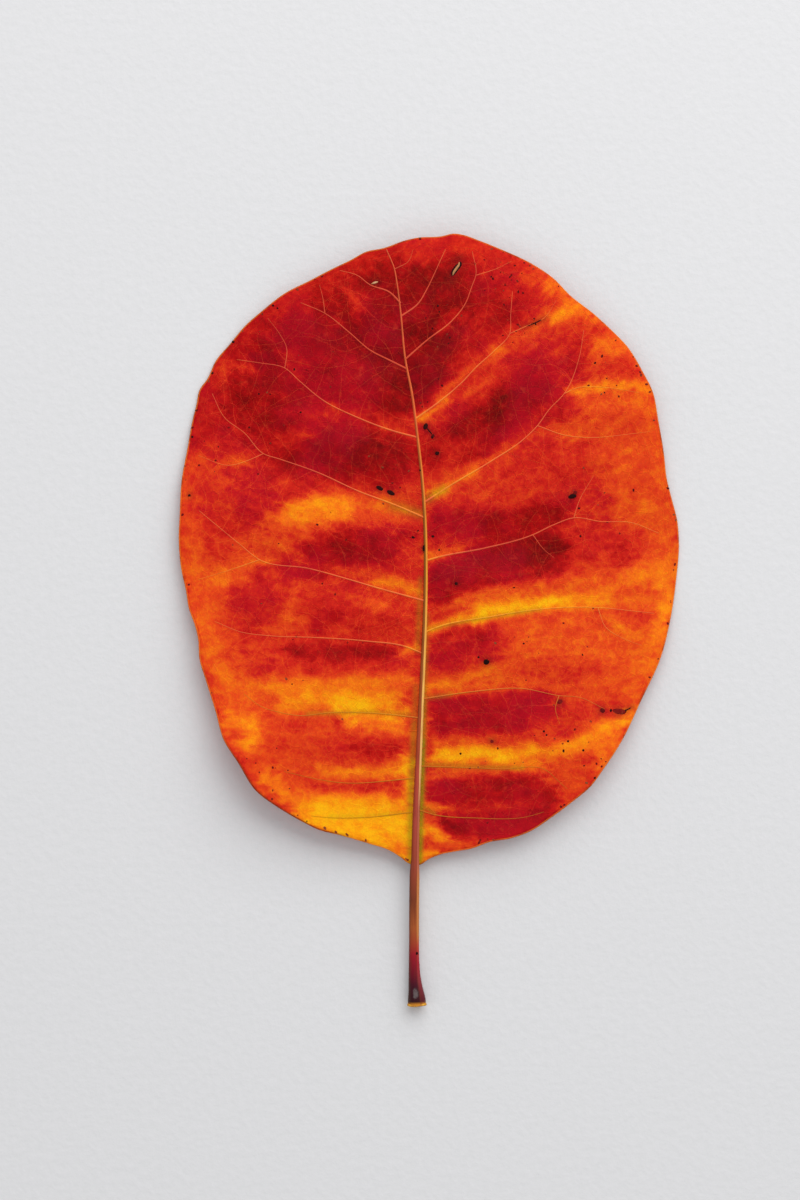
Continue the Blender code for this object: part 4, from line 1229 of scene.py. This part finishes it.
class LEAF_OT_ribs(bpy.types.Operator):
    """Builds the stalk with the midrib, and the side veins with their forks"""

    bl_idname = "leaf.ribs"
    bl_label = "Ribs"

    def execute(self, context):
        thickness = context.scene.leaf.thickness
        form = Form()
        places, numbers = rib_line(form, form.midrib, MIDRIB_SHAPE, thickness)
        shaft = smooth_curve(STALK, RIB_STEP)
        radius = stalk_radius(shaft[:, 3])
        stalk_numbers = {name: np.zeros(len(shaft)) for name in PAINTED} | {
            "width": radius * MM, "tall": np.minimum(1.0, shaft[:, 2] / radius),
            "centre": shaft[:, 2] * MM, "along": shaft[:, 1],
        }
        joined = np.vstack([to_frame(shaft[:, :2], shaft[:, 2]), places])
        numbers = {key: np.concatenate([stalk_numbers[key], numbers[key]]) for key in numbers}
        sweep("leaf_stalk_and_midrib", [(joined, numbers)], midrib_finish(), 20)
        lines = [rib_line(form, vein, slimmed(VEIN_SHAPE, vein), thickness) for vein in form.veins]
        lines += [rib_line(form, branch, BRANCH_SHAPE, thickness) for branch in form.branches]
        sweep("leaf_side_veins", lines, rib_finish(), 10)
        rim = new_object("leaf_cut_rim", ring_mesh("cut rim", CUT_CENTRE, CUT_REACH, CUT_THICK))
        rim.data.materials.append(cut_finish())
        dress(rim)
        return {"FINISHED"}


class LEAF_OT_net(bpy.types.Operator):
    """Builds the fine veins: ladders between the side veins, and the net of small cells"""

    bl_idname = "leaf.net"
    bl_label = "Vein net"

    def execute(self, context):
        settings = context.scene.leaf
        form = Form()
        finish = net_finish("leaf ladder veins", 0.12, 0.26)
        ladders = ladder_lines(form, settings.seed, settings.ladder_gap)
        lines = [rib_line(form, line, LADDER_SHAPE, settings.thickness) for line in ladders]
        sweep("leaf_ladder_veins", lines, finish, 5)
        finish = net_finish("leaf vein net", 0.05, 0.05)
        draw = random.Random(settings.seed)
        cell = settings.net_cell
        places = staggered_places(form.outline, cell, cell * 0.87, lambda: draw.gauss(0, cell * 0.3))
        places = places[form.rim_distance(places) > NET_RIM]
        net = delaunay_2d_cdt([Vector(place) for place in places], [], [], 0, 0.001)
        corners = np.array([tuple(place) for place in net[0]])
        mesh = bpy.data.meshes.new("cells")
        mesh.from_pydata(to_frame(corners, np.zeros(len(corners))).tolist(), [], net[2])
        blade = bpy.data.objects["leaf_blade"]
        values = {"Blade": blade, "Width": settings.net_width * MM, "Material": finish}
        dress(net_tree().run("leaf_vein_net", mesh, values))
        return {"FINISHED"}


class LEAF_OT_marks(bpy.types.Operator):
    """Builds the dead spots, the scars and the margin"""

    bl_idname = "leaf.marks"
    bl_label = "Spots, scars and margin"

    def execute(self, context):
        settings = context.scene.leaf
        form = Form()
        finish = scar_finish()
        rows = np.array(SPOTS + scattered_spots(form, settings.seed))
        top = form.top(rows[:, :2], settings.thickness)
        mesh = bpy.data.meshes.new("spots")
        mesh.from_pydata(to_frame(rows[:, :2], top).tolist(), [], [])
        numbers = {"size": rows[:, 2] * MM, "stretch": rows[:, 3], "turn": np.radians(rows[:, 4])}
        give_numbers(mesh, numbers | {"tone": rows[:, 5]})
        dress(spot_tree().run("leaf_spots", mesh, {"Flatness": 0.2, "Material": finish}))
        lines = []
        for points, width, tone in SCARS:
            line = smooth_curve(points, 0.15)
            shape = {"width": (width, width), "above": (0.07 + 0.07 * tone,) * 2, "below": (0.0, 0.0)}
            place, numbers = rib_line(form, line, shape, settings.thickness)
            numbers["tone"] = np.full(len(line), tone)
            ends = np.sin(np.linspace(0.12, math.pi - 0.12, len(line))) ** 0.5
            numbers["width"] = numbers["width"] * ends
            lines.append((place, numbers))
        sweep("leaf_scars", lines, finish, 8)
        rim = inset(smooth_curve(OUTLINE, 0.4, closed=True), MARGIN_WIDTH + MARGIN_PLAY)
        shape = {"width": (MARGIN_WIDTH,) * 2, "above": (0.03,) * 2, "below": (0.03,) * 2}
        line = rib_line(form, rim, shape, settings.thickness)
        sweep("leaf_margin", [line], margin_finish(), 8, closed=True)
        return {"FINISHED"}


class LEAF_OT_stage(bpy.types.Operator):
    """Builds the plain floor, the soft light and the camera"""

    bl_idname = "leaf.stage"
    bl_label = "Stage"

    def execute(self, context):
        settings = context.scene.leaf_stage
        bpy.ops.mesh.primitive_plane_add(size=FLOOR_SIZE, location=(0.0, 0.0, -FLOOR_DROP))
        floor = context.active_object
        floor.name = "floor"
        floor.data.materials.append(paper_finish())
        light = bpy.data.lights.new("soft light", "AREA")
        light.shape = "RECTANGLE"
        light.size, light.size_y = LAMP_SIZE
        light.energy = settings.light_power
        lamp = bpy.data.objects.new("soft light", light)
        lamp.location = LAMP_PLACE
        lamp.rotation_euler = (-lamp.location).to_track_quat("-Z", "Y").to_euler()
        context.scene.collection.objects.link(lamp)
        world = bpy.data.worlds.new("even light")
        world.use_nodes = True
        background = world.node_tree.nodes["Background"]
        background.inputs["Color"].default_value = (*settings.sky_colour, 1.0)
        background.inputs["Strength"].default_value = settings.sky
        context.scene.world = world
        camera = bpy.data.cameras.new("camera")
        camera.lens = LENS
        camera.sensor_width = SENSOR_WIDTH
        eye = bpy.data.objects.new("camera", camera)
        eye.location = CAMERA_PLACE
        context.scene.collection.objects.link(eye)
        context.scene.camera = eye
        context.scene.view_settings.view_transform = "Standard"
        return {"FINISHED"}


class LEAF_PT_panel(bpy.types.Panel):
    """Lists the steps that build the leaf"""

    bl_idname = "LEAF_PT_panel"
    bl_label = "Autumn leaf"
    bl_space_type = "VIEW_3D"
    bl_region_type = "UI"
    bl_category = "Leaf"

    def draw(self, context):
        for settings in (context.scene.leaf, context.scene.leaf_stage):
            for name in settings.__annotations__:
                self.layout.prop(settings, name)
        for operator in OPERATORS:
            self.layout.operator(operator.bl_idname)


OPERATORS = (LEAF_OT_blade, LEAF_OT_ribs, LEAF_OT_net, LEAF_OT_marks, LEAF_OT_stage)
CLASSES = (LeafSettings, StageSettings) + OPERATORS + (LEAF_PT_panel,)


def register():
    """Registers the classes and the scene's settings."""
    for item in CLASSES:
        bpy.utils.register_class(item)
    bpy.types.Scene.leaf = PointerProperty(type=LeafSettings)
    bpy.types.Scene.leaf_stage = PointerProperty(type=StageSettings)


def unregister():
    """Removes the scene's settings and the classes."""
    del bpy.types.Scene.leaf_stage
    del bpy.types.Scene.leaf
    for item in reversed(CLASSES):
        bpy.utils.unregister_class(item)


def main():
    """Builds the leaf and its stage."""
    register()
    bpy.ops.leaf.blade()
    bpy.ops.leaf.ribs()
    bpy.ops.leaf.net()
    bpy.ops.leaf.marks()
    bpy.ops.leaf.stage()


if __name__ == "__main__":
    main()
